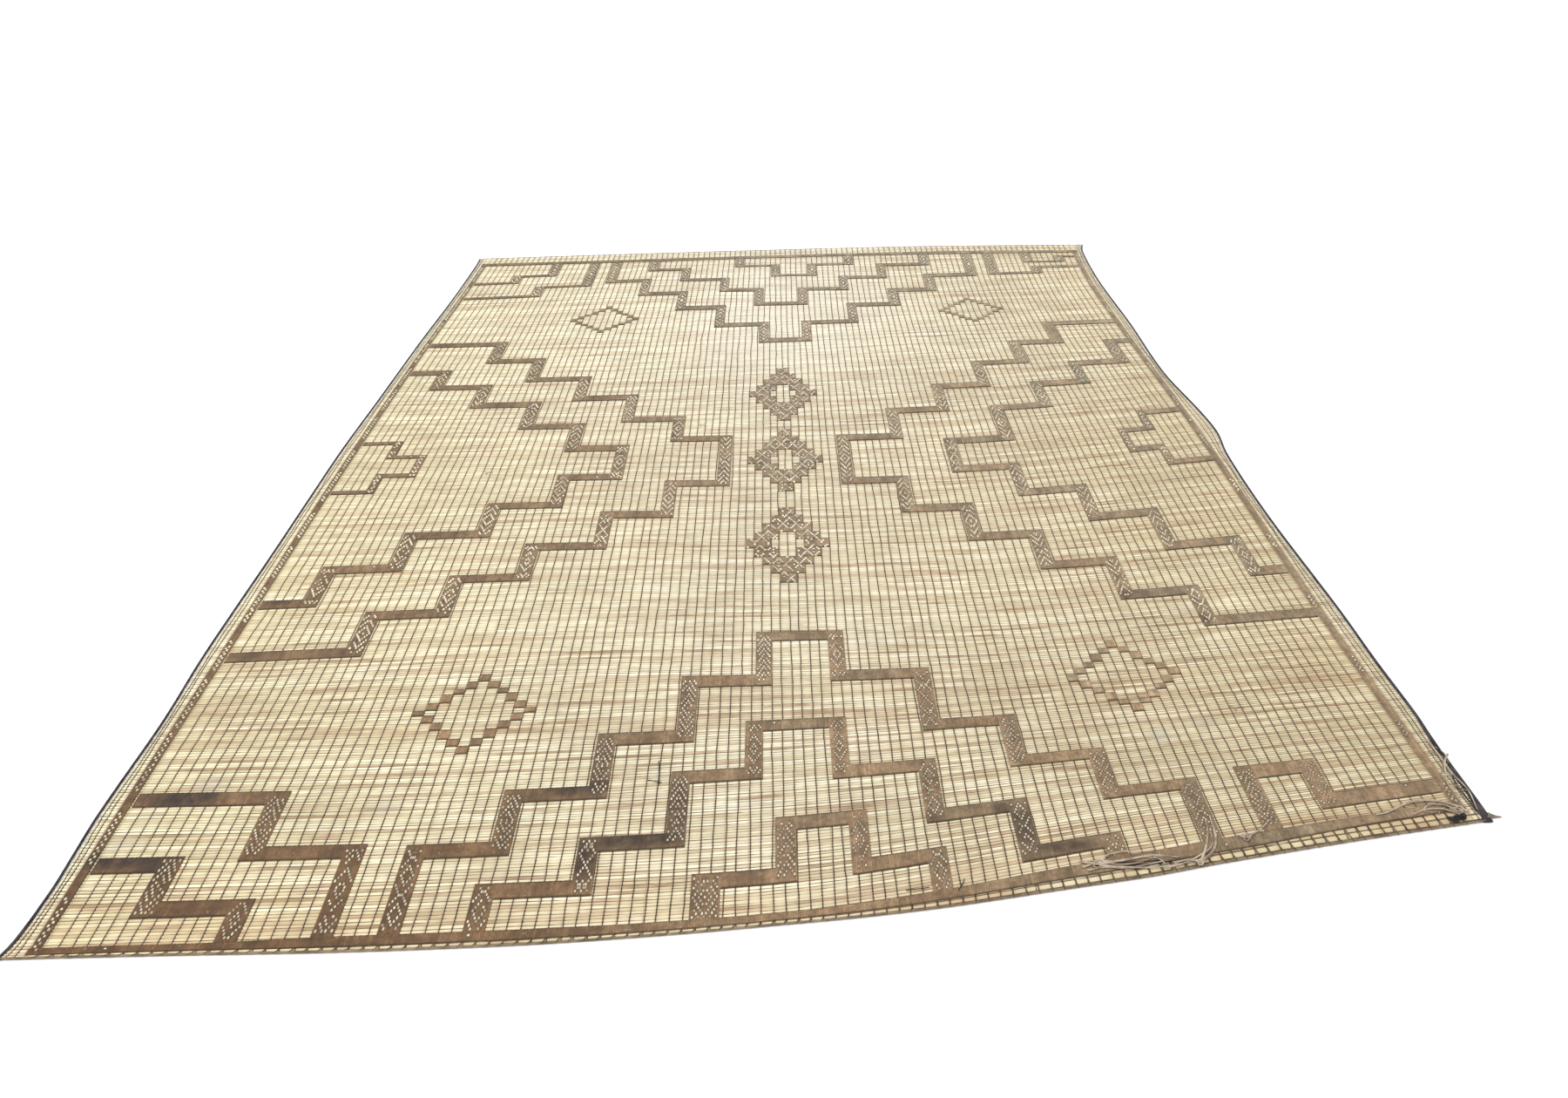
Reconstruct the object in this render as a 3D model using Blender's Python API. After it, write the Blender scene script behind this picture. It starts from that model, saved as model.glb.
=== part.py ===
"""Reed and leather floor mat, lying flat.

Thin reeds run from left to right (X). Leather cords cross them from the near side to the far side (Y)
and divide the mat into columns, here called cells. The leather pattern is laid out in cells across
and in rows along the cords, and one function places it on the mat as the mat really lies.
"""
from collections import namedtuple
from math import exp

import bmesh
import bpy
from mathutils import Vector

# Driving dimensions, in metres
CELL_PITCH = 0.0243            # from one leather cord to the next
HALF_CELLS = 55.5              # from the middle cord to the middle of a side border
DRAWN_IN = 0.019               # how much the middle cells are drawn together on each side
DRAWN_CELLS = 10.0             # how many cells it takes for that to fade
GAP = 0.0003                   # between neighbouring pieces
SHEET_TOP = 0.0040             # top of the reeds between two cords
RIB_HEIGHT = 0.0010            # how far a cord stands above them
LEATHER_THICKNESS = 0.0012
BINDING_WIDTH = 0.0090
BINDING_HEIGHT = 0.0062
EDGE_CORD_WIDTH = 0.0050
EDGE_CORD_HEIGHT = 0.0055
THONG_RADIUS = 0.0017
STRAND_LIFT = 0.0007           # how much higher each further strand of a bundle lies
ORIGIN = (-0.0020, 0.0895)     # middle of the whole mat, seen from above

LEATHER_BOTTOM = SHEET_TOP + RIB_HEIGHT + GAP
LEATHER_TOP = LEATHER_BOTTOM + LEATHER_THICKNESS
CELL_GAP = 0.02                # the gap beside a border, in cells
ROW_GAP = 0.0006               # the same, in rows

# How the mat lies: one line for each row that was measured. A row is a line of reeds, counted in
# metres along the cords from the middle of the pattern. x_ gives the cords of the two side borders
# and the middle cord, y_ gives the row at those three cords and half-way between them.
Section = namedtuple(
    "Section", "row x_left x_mid x_right y_left y_left_half y_mid y_right_half y_right")
SECTIONS = (
    Section(-1.850, -1.338, -0.015, 1.300, -1.776, -1.802, -1.808, -1.738, -1.660),
    Section(-1.825, -1.338, -0.015, 1.300, -1.760, -1.782, -1.788, -1.700, -1.622),
    Section(-1.430, -1.343, -0.015, 1.298, -1.380, -1.410, -1.412, -1.385, -1.350),
    Section(-0.950, -1.346, -0.015, 1.297, -0.918, -0.922, -0.956, -0.976, -0.945),
    Section(+0.000, -1.352, -0.015, 1.311, -0.005, -0.025, -0.055, -0.055, +0.020),
    Section(+0.950, -1.340, -0.015, 1.301, +0.945, +0.935, +0.941, +0.955, +0.970),
    Section(+1.430, -1.325, -0.013, 1.305, +1.450, +1.480, +1.462, +1.442, +1.465),
    Section(+1.825, -1.317, -0.010, 1.332, +1.871, +1.880, +1.890, +1.890, +1.862),
    Section(+1.920, -1.316, -0.010, 1.338, +1.965, +1.981, +1.990, +1.988, +1.957),
)

# How far the mat reaches beyond the middle of each side border
Edge = namedtuple("Edge", "row left right")
EDGES = (
    Edge(-1.850, 0.053, 0.052),
    Edge(-1.430, 0.047, 0.053),
    Edge(-0.950, 0.046, 0.052),
    Edge(-0.475, 0.045, 0.040),
    Edge(-0.150, 0.045, 0.046),
    Edge(+0.000, 0.046, 0.062),
    Edge(+0.150, 0.046, 0.060),
    Edge(+0.475, 0.043, 0.036),
    Edge(+0.950, 0.039, 0.046),
    Edge(+1.430, 0.038, 0.045),
    Edge(+1.825, 0.039, 0.040),
    Edge(+1.920, 0.043, 0.056),
)

NEAR_HEM = SECTIONS[0].row
FAR_HEM = SECTIONS[-1].row
FIELD_ROWS = (-1.625, -1.43, -0.95, -0.475, -0.15, 0.0, 0.15, 0.475, 0.95, 1.43, 1.70)
SHEET_ROWS = (NEAR_HEM + EDGE_CORD_WIDTH + GAP, *FIELD_ROWS, FAR_HEM - EDGE_CORD_WIDTH - GAP)

# The border frame
FRAME_ROW = 1.825
FRAME_HALF = {"near": 0.016, "far": 0.014}      # half the height of the near and the far band
FRAME_STEPS = 36
BORDER_IN = HALF_CELLS - 0.5
BORDER_OUT = HALF_CELLS + 0.5

# Each stepped band: arms stand along the cords, bars lie along the reeds. arms and bars are the
# middles of the arms, in cells, and of the bars, in rows, in the order in which the band meets them.
Band = namedtuple("Band", "name start arms bars end bar_height arm_cells")
ARM_CELLS = 1.8                # width of an arm
SMALL_ARM_CELLS = 1.0          # width of the arms of the small figures at the two sides


def spire(*flight):
    """Bars of a spire, from the rows of its apex and its steps: up to the apex, and down again."""
    return flight[:0:-1] + flight


def wedge(upper, lower):
    """Bars of a wedge that points along the reeds: down to its apex, and on below it."""
    return upper[::-1] + tuple(-row for row in lower)


def turned(rows):
    """The same rows, counted towards the near side."""
    return tuple(-row for row in rows)


SPIRE_BANDS = (
    Band("zigzag_far_outer", "far", (-31, -24, -17, -10, -3, 5, 12, 20, 27, 35),
         spire(0.928, 1.089, 1.255, 1.420, 1.562), "far", 0.028, ARM_CELLS),
    Band("zigzag_far_second", "far", (-24, -17, -10, -4, 4, 12, 19, 27),
         spire(1.288, 1.438, 1.571, 1.700), "far", 0.026, ARM_CELLS),
    Band("zigzag_far_third", "far", (-8, -1, 6, 13), spire(1.590, 1.711), "far", 0.022, ARM_CELLS),
    Band("zigzag_near_outer", "near", (-31, -24, -17, -10, -3, 5, 13, 20, 27, 34),
         turned(spire(0.941, 1.106, 1.300, 1.455, 1.608)), "near", 0.038, ARM_CELLS),
    Band("zigzag_near_second", "near", (-24, -17, -10, -4, 4, 12, 19, 26),
         turned((1.740, 1.613, 1.440, 1.287, 1.440, 1.613, 1.760)), "near", 0.036, ARM_CELLS),
    Band("zigzag_near_third", "near", (-8, -1, 5, 12), turned(spire(1.585, 1.718)),
         "near", 0.036, ARM_CELLS),
)
WEDGE_BANDS = (
    Band("zigzag_left_outer", "left", (-43, -36, -29, -22, -15, -8, -15, -22, -29, -36, -43),
         wedge((0.145, 0.292, 0.465, 0.627, 0.795, 0.950), (0.145, 0.328, 0.497, 0.657, 0.815, 0.970)),
         "left", 0.034, ARM_CELLS),
    Band("zigzag_left_inner", "left", (-50, -43, -35, -28, -22, -28, -35, -43, -50),
         wedge((0.098, 0.260, 0.435, 0.590, 0.720), (0.097, 0.260, 0.424, 0.587, 0.740)),
         "left", 0.033, ARM_CELLS),
    Band("zigzag_left_small", "left", (-50.5, -46.5, -50.5),
         wedge((0.062, 0.160), (0.064, 0.160)), "left", 0.024, SMALL_ARM_CELLS),
    Band("zigzag_right_outer", "right", (43, 36, 29, 22, 15, 8, 15, 22, 29, 36, 43),
         wedge((0.130, 0.310, 0.475, 0.640, 0.800, 0.977), (0.145, 0.328, 0.499, 0.657, 0.823, 0.970)),
         "right", 0.033, ARM_CELLS),
    Band("zigzag_right_inner", "right", (50.5, 43, 36, 29, 22, 29, 36, 43, 51),
         wedge((0.085, 0.295, 0.447, 0.593, 0.773), (0.104, 0.263, 0.430, 0.610, 0.770)),
         "right", 0.034, ARM_CELLS),
    Band("zigzag_right_small", "right", (49.5, 45.5, 49.5),
         wedge((0.063, 0.175), (0.064, 0.162)), "right", 0.026, SMALL_ARM_CELLS),
)
CORNER_BANDS = (
    Band("corner_far_left_outer", "left", (-43, -35), (1.419, 1.514), "far", 0.023, ARM_CELLS),
    Band("corner_far_left_inner", "left", (-48, -42), (1.584, 1.664), "far", 0.021, ARM_CELLS),
    Band("corner_far_right_outer", "far", (39, 47), (1.551, 1.618), "right", 0.020, ARM_CELLS),
    Band("corner_far_right_inner", "far", (46, 52), (1.688, 1.753), "right", 0.018, ARM_CELLS),
    Band("corner_near_left_outer", "left", (-43, -35), (-1.454, -1.598), "near", 0.040, ARM_CELLS),
    Band("corner_near_left_inner", "left", (-49, -42), (-1.625, -1.733), "near", 0.037, ARM_CELLS),
    Band("corner_near_right", "near", (39.3, 44.5), (-1.593, -1.743), "right", 0.046, ARM_CELLS),
)

# The three leather lozenges on the middle cord: half their width in cells, line by line
LOZENGE_HALF_CELLS = (1, 2, 3, 4, 5, 4, 3, 2, 1)
HOLLOW_HALF_CELLS = (1, 2, 1)
LOZENGE_LINE = 0.0445
LOZENGE_ROWS = {"lozenge_far": 0.463, "lozenge_middle": 0.0, "lozenge_near": -0.506}

# The four open diamonds of small leather squares that touch at their corners
Diamond = namedtuple("Diamond", "name cell row line")
DIAMONDS = (
    Diamond("diamond_far_left", -29.5, 1.157, 0.0220),
    Diamond("diamond_far_right", 32.5, 1.155, 0.0241),
    Diamond("diamond_near_left", -29.5, -1.207, 0.0231),
    Diamond("diamond_near_right", 32.5, -1.170, 0.0276),
)
DIAMOND_STEPS = 5
DIAMOND_NECK = 0.04            # how far two squares run into each other, as a share of a square

# Loose ends of leather on the near side: the points that each strand passes over, in metres
LOOSE_ENDS = {
    "loose_ends_hem": (
        ((0.515, -1.708), (0.548, -1.716), (0.600, -1.711), (0.655, -1.704), (0.705, -1.712)),
        ((0.550, -1.721), (0.612, -1.731), (0.668, -1.733), (0.722, -1.726)),
        ((0.552, -1.712), (0.570, -1.698), (0.603, -1.692), (0.640, -1.694)),
    ),
    "loose_ends_ribbon": (
        ((0.738, -1.728), (0.772, -1.704), (0.790, -1.668), (0.797, -1.612)),
        ((0.745, -1.722), (0.764, -1.690), (0.781, -1.648), (0.785, -1.618)),
    ),
    "loose_ends_corner": (
        ((1.290, -1.636), (1.262, -1.612), (1.205, -1.607), (1.133, -1.633)),
        ((1.286, -1.644), (1.262, -1.632), (1.228, -1.631), (1.196, -1.642)),
    ),
}
KNOT_SIZES = {
    "loose_ends_hem": (0.016, 0.010, 0.0030),
    "loose_ends_ribbon": (0.010, 0.007, 0.0028),
    "loose_ends_corner": (0.012, 0.010, 0.0030),
}

REED = ((0.72, 0.62, 0.42), 0.55)
LEATHER = ((0.25, 0.17, 0.11), 0.65)
DARK_LEATHER = ((0.035, 0.030, 0.045), 0.60)
THONG = ((0.32, 0.25, 0.18), 0.60)


def material(name, finish):
    """A plain finish: colour and roughness."""
    colour, roughness = finish
    made = bpy.data.materials.new(name)
    made.use_nodes = True
    shader = made.node_tree.nodes["Principled BSDF"]
    shader.inputs["Base Color"].default_value = (*colour, 1.0)
    shader.inputs["Roughness"].default_value = roughness
    shader.inputs["Metallic"].default_value = 0.0
    made.diffuse_color = (*colour, 1.0)
    return made


def smooth(knots, values, at):
    """The smooth curve through a few values, straight beyond the last ones."""
    last = len(knots) - 1

    def tangent(knot):
        before, after = max(knot - 1, 0), min(knot + 1, last)
        return (values[after] - values[before]) / (knots[after] - knots[before])

    if at <= knots[0]:
        return values[0] + tangent(0) * (at - knots[0])
    if at >= knots[last]:
        return values[last] + tangent(last) * (at - knots[last])
    span = max(i for i in range(last) if knots[i] <= at)
    width = knots[span + 1] - knots[span]
    t = (at - knots[span]) / width
    rise = values[span + 1] - values[span]
    start = tangent(span) * width
    end = tangent(span + 1) * width
    return (values[span] + t * start + t * t * (3 * rise - 2 * start - end)
            + t * t * t * (start + end - 2 * rise))


def along(table, column, row):
    """One column of a table, read at any row."""
    return smooth([line.row for line in table], [getattr(line, column) for line in table], row)


def cords_width(cells):
    """The distance from the middle cord to another, with the middle cells drawn together."""
    return CELL_PITCH * cells - DRAWN_IN * (1 - exp(-cells / DRAWN_CELLS))


def place(cell, row):
    """Where a point of the pattern lies on the mat."""
    side = "x_left" if cell < 0 else "x_right"
    share = cords_width(abs(cell)) / cords_width(HALF_CELLS)
    mid = along(SECTIONS, "x_mid", row)
    x = mid + (along(SECTIONS, side, row) - mid) * share
    cords = (-HALF_CELLS, -HALF_CELLS / 2, 0, HALF_CELLS / 2, HALF_CELLS)
    heights = [along(SECTIONS, name, row)
               for name in ("y_left", "y_left_half", "y_mid", "y_right_half", "y_right")]
    y = smooth(cords, heights, cell)
    return Vector((x - ORIGIN[0], y - ORIGIN[1], 0))


def place_edge(side, row, inset=0.0):
    """A point of the mat's left (-1) or right (+1) edge, moved inwards by inset."""
    border = place(side * HALF_CELLS, row)
    reach = along(EDGES, "left" if side < 0 else "right", row) - inset
    slope = place(side * HALF_CELLS, row) - place(side * (HALF_CELLS - 1), row)
    return border + slope.normalized() * reach


def outline_piece(name, outlines, bottom, height, finish):
    """A flat piece cut to an outline; further outlines are its holes."""
    curve = bpy.data.curves.new(name, "CURVE")
    curve.dimensions = "2D"
    curve.fill_mode = "BOTH"
    curve.extrude = height / 2
    for points in outlines:
        spline = curve.splines.new("POLY")
        spline.points.add(len(points) - 1)
        for point, place_of in zip(spline.points, points):
            point.co = (place_of.x, place_of.y, 0, 1)
        spline.use_cyclic_u = True
    piece = bpy.data.objects.new(name, curve)
    piece.location.z = bottom + height / 2
    parts.objects.link(piece)
    curve.materials.append(finish)
    return piece


def reed_sheet(finish):
    """The field of reeds: a flat sheet with a raised rib along every cord."""
    cords = int(BORDER_OUT)
    columns = [step / 2 for step in range(-2 * cords, 2 * cords + 1)]
    mesh = bpy.data.meshes.new("reed_sheet")
    sheet = bpy.data.objects.new("reed_sheet", mesh)
    parts.objects.link(sheet)
    shape = bmesh.new()
    across = len(columns) + 4
    bmesh.ops.create_grid(shape, x_segments=across - 1, y_segments=len(SHEET_ROWS) - 1, size=1)
    shape.verts.ensure_lookup_table()
    for number, vert in enumerate(shape.verts):
        line, column = divmod(number, across)
        row = SHEET_ROWS[line]
        if 2 <= column < across - 2:
            cell = columns[column - 2]
            point = place(cell, row)
            point.z = SHEET_TOP + (RIB_HEIGHT if cell % 1 == 0 else 0)
        else:
            side = -1 if column < 2 else 1
            rim = place_edge(side, row, BINDING_WIDTH + GAP)
            border = place(side * BORDER_OUT, row)
            outermost = column in (0, across - 1)
            point = rim if outermost else (rim + border) / 2
            point.z = SHEET_TOP
        vert.co = point
    rim_edges = [edge for edge in shape.edges if edge.is_boundary]
    walls = bmesh.ops.extrude_edge_only(shape, edges=rim_edges)["geom"]
    for vert in (item for item in walls if isinstance(item, bmesh.types.BMVert)):
        vert.co.z = 0
    lower = [item for item in walls if isinstance(item, bmesh.types.BMEdge) and item.is_boundary]
    bmesh.ops.holes_fill(shape, edges=lower, sides=0)
    bmesh.ops.recalc_face_normals(shape, faces=shape.faces)
    shape.to_mesh(mesh)
    shape.free()
    mesh.materials.append(finish)
    return sheet


def frame(finish):
    """The four bands of the border frame."""
    low = -FRAME_ROW + FRAME_HALF["near"] + ROW_GAP
    high = FRAME_ROW - FRAME_HALF["far"] - ROW_GAP
    rows = [low + (high - low) * step / FRAME_STEPS for step in range(FRAME_STEPS + 1)]
    for side, name in ((-1, "frame_left"), (1, "frame_right")):
        inner = [place(side * BORDER_IN, row) for row in rows]
        outer = [place(side * BORDER_OUT, row) for row in reversed(rows)]
        outline_piece(name, [inner + outer], LEATHER_BOTTOM, LEATHER_THICKNESS, finish)
    cells = [-BORDER_OUT] + list(range(-50, 51, 5)) + [BORDER_OUT]
    for sign, name in ((-1, "near"), (1, "far")):
        lower = [place(cell, sign * FRAME_ROW - FRAME_HALF[name]) for cell in cells]
        upper = [place(cell, sign * FRAME_ROW + FRAME_HALF[name]) for cell in reversed(cells)]
        outline_piece("frame_" + name, [lower + upper], LEATHER_BOTTOM, LEATHER_THICKNESS, finish)


def band_path(band):
    """The middle line of a stepped band, corner by corner, from one border to the other."""
    cell_ends = {"left": -BORDER_IN + CELL_GAP, "right": BORDER_IN - CELL_GAP}
    row_ends = {
        "near": -FRAME_ROW + FRAME_HALF["near"] + ROW_GAP,
        "far": FRAME_ROW - FRAME_HALF["far"] - ROW_GAP,
    }
    across = band.start in cell_ends
    cells = [cell_ends[band.start]] if across else []
    rows = [] if across else [row_ends[band.start]]
    cells += band.arms
    rows += band.bars
    if band.end in cell_ends:
        cells.append(cell_ends[band.end])
    else:
        rows.append(row_ends[band.end])
    column, line = 0, 0
    path = [(cells[0], rows[0])]
    while column + 1 < len(cells) or line + 1 < len(rows):
        if across:
            column += 1
        else:
            line += 1
        across = not across
        path.append((cells[column], rows[line]))
    return path


def band_outline(path, half_cells, half_rows):
    """Both edges of a band of even width along its middle line."""
    def normal(start, end):
        if start[0] == end[0]:
            return (-half_cells if end[1] > start[1] else half_cells, 0)
        return (0, half_rows if end[0] > start[0] else -half_rows)

    normals = [normal(path[i], path[i + 1]) for i in range(len(path) - 1)]
    left, right = [], []
    for number, (cell, row) in enumerate(path):
        beside = {normals[max(number - 1, 0)], normals[min(number, len(normals) - 1)]}
        shift_cell = sum(n[0] for n in beside)
        shift_row = sum(n[1] for n in beside)
        left.append(place(cell + shift_cell, row + shift_row))
        right.append(place(cell - shift_cell, row - shift_row))
    return left + right[::-1]


def stepped_bands(finish):
    """Every stepped band of the pattern."""
    for band in SPIRE_BANDS + WEDGE_BANDS + CORNER_BANDS:
        outline = band_outline(band_path(band), band.arm_cells / 2, band.bar_height / 2)
        outline_piece(band.name, [outline], LEATHER_BOTTOM, LEATHER_THICKNESS, finish)


def stepped_outline(half_cells, centre_row, line):
    """A stepped figure about the middle cord, from half its width line by line."""
    right, left = [], []
    bottom = centre_row - line * len(half_cells) / 2
    for number, half in enumerate(half_cells):
        for row in (bottom + line * number, bottom + line * (number + 1)):
            right.append(place(half, row))
            left.append(place(-half, row))
    return right + left[::-1]


def lozenges(finish):
    """The three stepped lozenges, each with its cross-shaped opening."""
    for name, row in LOZENGE_ROWS.items():
        outer = stepped_outline(LOZENGE_HALF_CELLS, row, LOZENGE_LINE)
        hollow = stepped_outline(HOLLOW_HALF_CELLS, row, LOZENGE_LINE)
        outline_piece(name, [outer, hollow], LEATHER_BOTTOM, LEATHER_THICKNESS, finish)


def diamond_ring(diamond, reach):
    """The outer (+) or inner (-) stepped edge of a ring of squares."""
    quarter = []
    for step in range(DIAMOND_STEPS + 1):
        up = DIAMOND_STEPS - step
        if reach > 0:
            quarter += [(step + 0.5 + reach, up + 0.5 + reach), (step + 0.5 + reach, up - 0.5 + reach)]
        elif step > 0:
            quarter += [(step - 0.5 + reach, up + 0.5 + reach), (step - 0.5 + reach, up - 0.5 + reach)]
    quarter.pop()
    ring = quarter + [(x, -y) for x, y in reversed(quarter)]
    ring += [(-x, -y) for x, y in quarter] + [(-x, y) for x, y in reversed(quarter)]
    return [place(diamond.cell + x, diamond.row + y * diamond.line) for x, y in ring]


def diamonds(finish):
    """The four open diamonds."""
    for diamond in DIAMONDS:
        rings = [diamond_ring(diamond, DIAMOND_NECK / 2), diamond_ring(diamond, -DIAMOND_NECK / 2)]
        outline_piece(diamond.name, rings, LEATHER_BOTTOM, LEATHER_THICKNESS, finish)


def bindings(finish):
    """The dark leather bound along the two side edges."""
    rows = [NEAR_HEM, *SHEET_ROWS, FAR_HEM]
    for side, name in ((-1, "binding_left"), (1, "binding_right")):
        outer = [place_edge(side, row) for row in rows]
        inner = [place_edge(side, row, BINDING_WIDTH) for row in reversed(rows)]
        outline_piece(name, [outer + inner], 0, BINDING_HEIGHT, finish)


def edge_cords(finish):
    """The leather cord that closes the reeds along the near and the far hem."""
    cells = [-BORDER_OUT] + list(range(-54, 55, 3)) + [BORDER_OUT]
    inset = BINDING_WIDTH + GAP
    for row, name in ((NEAR_HEM, "edge_cord_near"), (FAR_HEM, "edge_cord_far")):
        inner_row = row - EDGE_CORD_WIDTH * (1 if row > 0 else -1)
        outer = [place_edge(-1, row, inset)] + [place(cell, row) for cell in cells]
        outer += [place_edge(1, row, inset)]
        inner = [place_edge(-1, inner_row, inset)] + [place(cell, inner_row) for cell in cells]
        inner += [place_edge(1, inner_row, inset)]
        outline_piece(name, [outer + inner[::-1]], 0, EDGE_CORD_HEIGHT, finish)


def corner_tab(finish):
    """The pointed end of the binding that sticks out at the near right corner."""
    root = place_edge(1, NEAR_HEM) + Vector((GAP, 0, 0))
    points = [(0, 0.001), (0.026, 0.004), (0.024, 0.009), (0, 0.021)]
    outline = [root + Vector((x, y, 0)) for x, y in points]
    outline_piece("corner_tab", [outline], 0, BINDING_HEIGHT, finish)


def strand(name, points, lift):
    """One loose end of leather, four-sided, lying on the pattern or, by lift, on other strands."""
    curve = bpy.data.curves.new(name, "CURVE")
    curve.dimensions = "3D"
    curve.bevel_depth = THONG_RADIUS
    curve.bevel_resolution = 0
    curve.use_fill_caps = True
    spline = curve.splines.new("POLY")
    spline.points.add(len(points) - 1)
    height = LEATHER_TOP + GAP + THONG_RADIUS + lift
    for point, (x, y) in zip(spline.points, points):
        point.co = (x - ORIGIN[0], y - ORIGIN[1], height, 1)
    drawn = bpy.data.objects.new(name, curve)
    bpy.context.scene.collection.objects.link(drawn)
    bpy.context.view_layer.update()
    evaluated = drawn.evaluated_get(bpy.context.evaluated_depsgraph_get())
    mesh = bpy.data.meshes.new_from_object(evaluated)
    shape = bmesh.new()
    shape.from_mesh(mesh)
    bmesh.ops.remove_doubles(shape, verts=shape.verts, dist=0.00001)
    bmesh.ops.recalc_face_normals(shape, faces=shape.faces)
    shape.to_mesh(mesh)
    shape.free()
    bpy.data.objects.remove(drawn)
    return bpy.data.objects.new(name, mesh)


def loose_ends(finish):
    """Bundles of loose leather ends, each grown together in a flat knot."""
    for name, strands in LOOSE_ENDS.items():
        size = KNOT_SIZES[name]
        knot_x, knot_y = strands[0][0 if name != "loose_ends_hem" else 1]
        mesh = bpy.data.meshes.new(name)
        shape = bmesh.new()
        bmesh.ops.create_icosphere(shape, subdivisions=2, radius=1)
        bmesh.ops.scale(shape, vec=size, verts=shape.verts)
        shape.to_mesh(mesh)
        shape.free()
        knot = bpy.data.objects.new(name, mesh)
        knot.location = (knot_x - ORIGIN[0], knot_y - ORIGIN[1], LEATHER_TOP + GAP + size[2])
        parts.objects.link(knot)
        mesh.materials.append(finish)
        for number, points in enumerate(strands):
            cutter = strand(name + "_strand_" + str(number), points, STRAND_LIFT * number)
            cutter.hide_render = True
            cutter.display_type = "WIRE"
            cutters.objects.link(cutter)
            union = knot.modifiers.new("strand", "BOOLEAN")
            union.operation = "UNION"
            union.solver = "EXACT"
            union.object = cutter


for old in list(bpy.data.objects):
    bpy.data.objects.remove(old)

parts = bpy.data.collections.new("tuareg_mat")
cutters = bpy.data.collections.new("cutters")
bpy.context.scene.collection.children.link(parts)
bpy.context.scene.collection.children.link(cutters)

reed = material("reed", REED)
leather = material("leather", LEATHER)
dark_leather = material("dark_leather", DARK_LEATHER)
thong = material("thong", THONG)

reed_sheet(reed)
frame(leather)
stepped_bands(leather)
lozenges(leather)
diamonds(leather)
bindings(dark_leather)
edge_cords(thong)
corner_tab(dark_leather)
loose_ends(thong)
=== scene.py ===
from math import radians

import bpy
import numpy as np
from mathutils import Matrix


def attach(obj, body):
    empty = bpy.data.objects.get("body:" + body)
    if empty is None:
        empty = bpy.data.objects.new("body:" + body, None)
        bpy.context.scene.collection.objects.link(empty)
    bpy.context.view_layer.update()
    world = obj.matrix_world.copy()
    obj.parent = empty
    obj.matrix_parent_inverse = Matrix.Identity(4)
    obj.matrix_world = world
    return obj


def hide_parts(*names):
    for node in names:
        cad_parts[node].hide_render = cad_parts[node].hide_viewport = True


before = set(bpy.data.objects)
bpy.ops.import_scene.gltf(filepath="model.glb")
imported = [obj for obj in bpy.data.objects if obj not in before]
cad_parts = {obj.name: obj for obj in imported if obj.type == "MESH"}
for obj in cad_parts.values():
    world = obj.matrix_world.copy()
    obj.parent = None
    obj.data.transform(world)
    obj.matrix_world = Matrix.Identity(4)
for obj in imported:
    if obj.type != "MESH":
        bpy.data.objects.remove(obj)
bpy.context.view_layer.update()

dice = np.random.default_rng(11)   # the seed is fixed, so every run gives the same mat
print("frame loaded")

# how the mat lies
# A cell is the space between two leather cords, counted from the middle cord.
# A row is a line of reeds, in metres along the cords from the middle of the pattern.
layout = {
    "cellPitch": 0.0243,
    "halfCells": 55.5,     # the cell of the measured left and right lines
    "outerCell": 56,       # the outer edge of the leather border
    "drawnIn": 0.019,      # the cells beside the middle cord are narrower, by this much in all
    "drawnCells": 10.0,
    "inset": 0.0093,       # from the edge of the mat to the ends of the reeds
    "middle": (-0.0020, 0.0895),
}
# x of the left, middle and right lines, and y of five lines, measured at nine rows
lie = {
    "row": (-1.850, -1.825, -1.430, -0.950, 0.000, 0.950, 1.430, 1.825, 1.920),
    "xLeft": (-1.338, -1.338, -1.343, -1.346, -1.352, -1.340, -1.325, -1.317, -1.316),
    "xMid": (-0.015, -0.015, -0.015, -0.015, -0.015, -0.015, -0.013, -0.010, -0.010),
    "xRight": (1.300, 1.300, 1.298, 1.297, 1.311, 1.301, 1.305, 1.332, 1.338),
    "yLeft": (-1.776, -1.760, -1.380, -0.918, -0.005, 0.945, 1.450, 1.871, 1.965),
    "yLeftHalf": (-1.802, -1.782, -1.410, -0.922, -0.025, 0.935, 1.480, 1.880, 1.981),
    "yMid": (-1.808, -1.788, -1.412, -0.956, -0.055, 0.941, 1.462, 1.890, 1.990),
    "yRightHalf": (-1.738, -1.700, -1.385, -0.976, -0.055, 0.955, 1.442, 1.890, 1.988),
    "yRight": (-1.660, -1.622, -1.350, -0.945, 0.020, 0.970, 1.465, 1.862, 1.957),
}
heightsAt = {"yLeft": -55.5, "yLeftHalf": -27.75, "yMid": 0, "yRightHalf": 27.75, "yRight": 55.5}
# how far the mat goes on beyond the left and right lines
sideReach = {
    "row": (
        -1.850, -1.800, -1.690, -1.600, -1.510, -1.430, -1.200,
        -0.950, -0.475, -0.150, 0.000, 0.150, 0.475, 0.950, 1.430, 1.825, 1.920,
    ),
    "left": (
        0.062, 0.050, 0.043, 0.045, 0.048, 0.047, 0.042,
        0.049, 0.045, 0.045, 0.046, 0.046, 0.041, 0.039, 0.037, 0.039, 0.043,
    ),
    "right": (
        0.050, 0.051, 0.051, 0.051, 0.053, 0.056, 0.054,
        0.055, 0.040, 0.046, 0.065, 0.060, 0.036, 0.049, 0.044, 0.040, 0.055,
    ),
}

# how far the near hem bows outwards at some cords; the bow fades out at the row "from"
hemSag = {
    "cell": (-56, -45, -34, -22, -10, -2, 4, 12, 20, 28, 34, 46, 56),
    "drop": (
        0.001, 0.003, 0.007, 0.008, 0.000, -0.0035, 0.000,
        0.007, 0.011, 0.0145, 0.010, 0.008, 0.011,
    ),
    "from": -1.780,
    "hem": -1.850,
}


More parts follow.
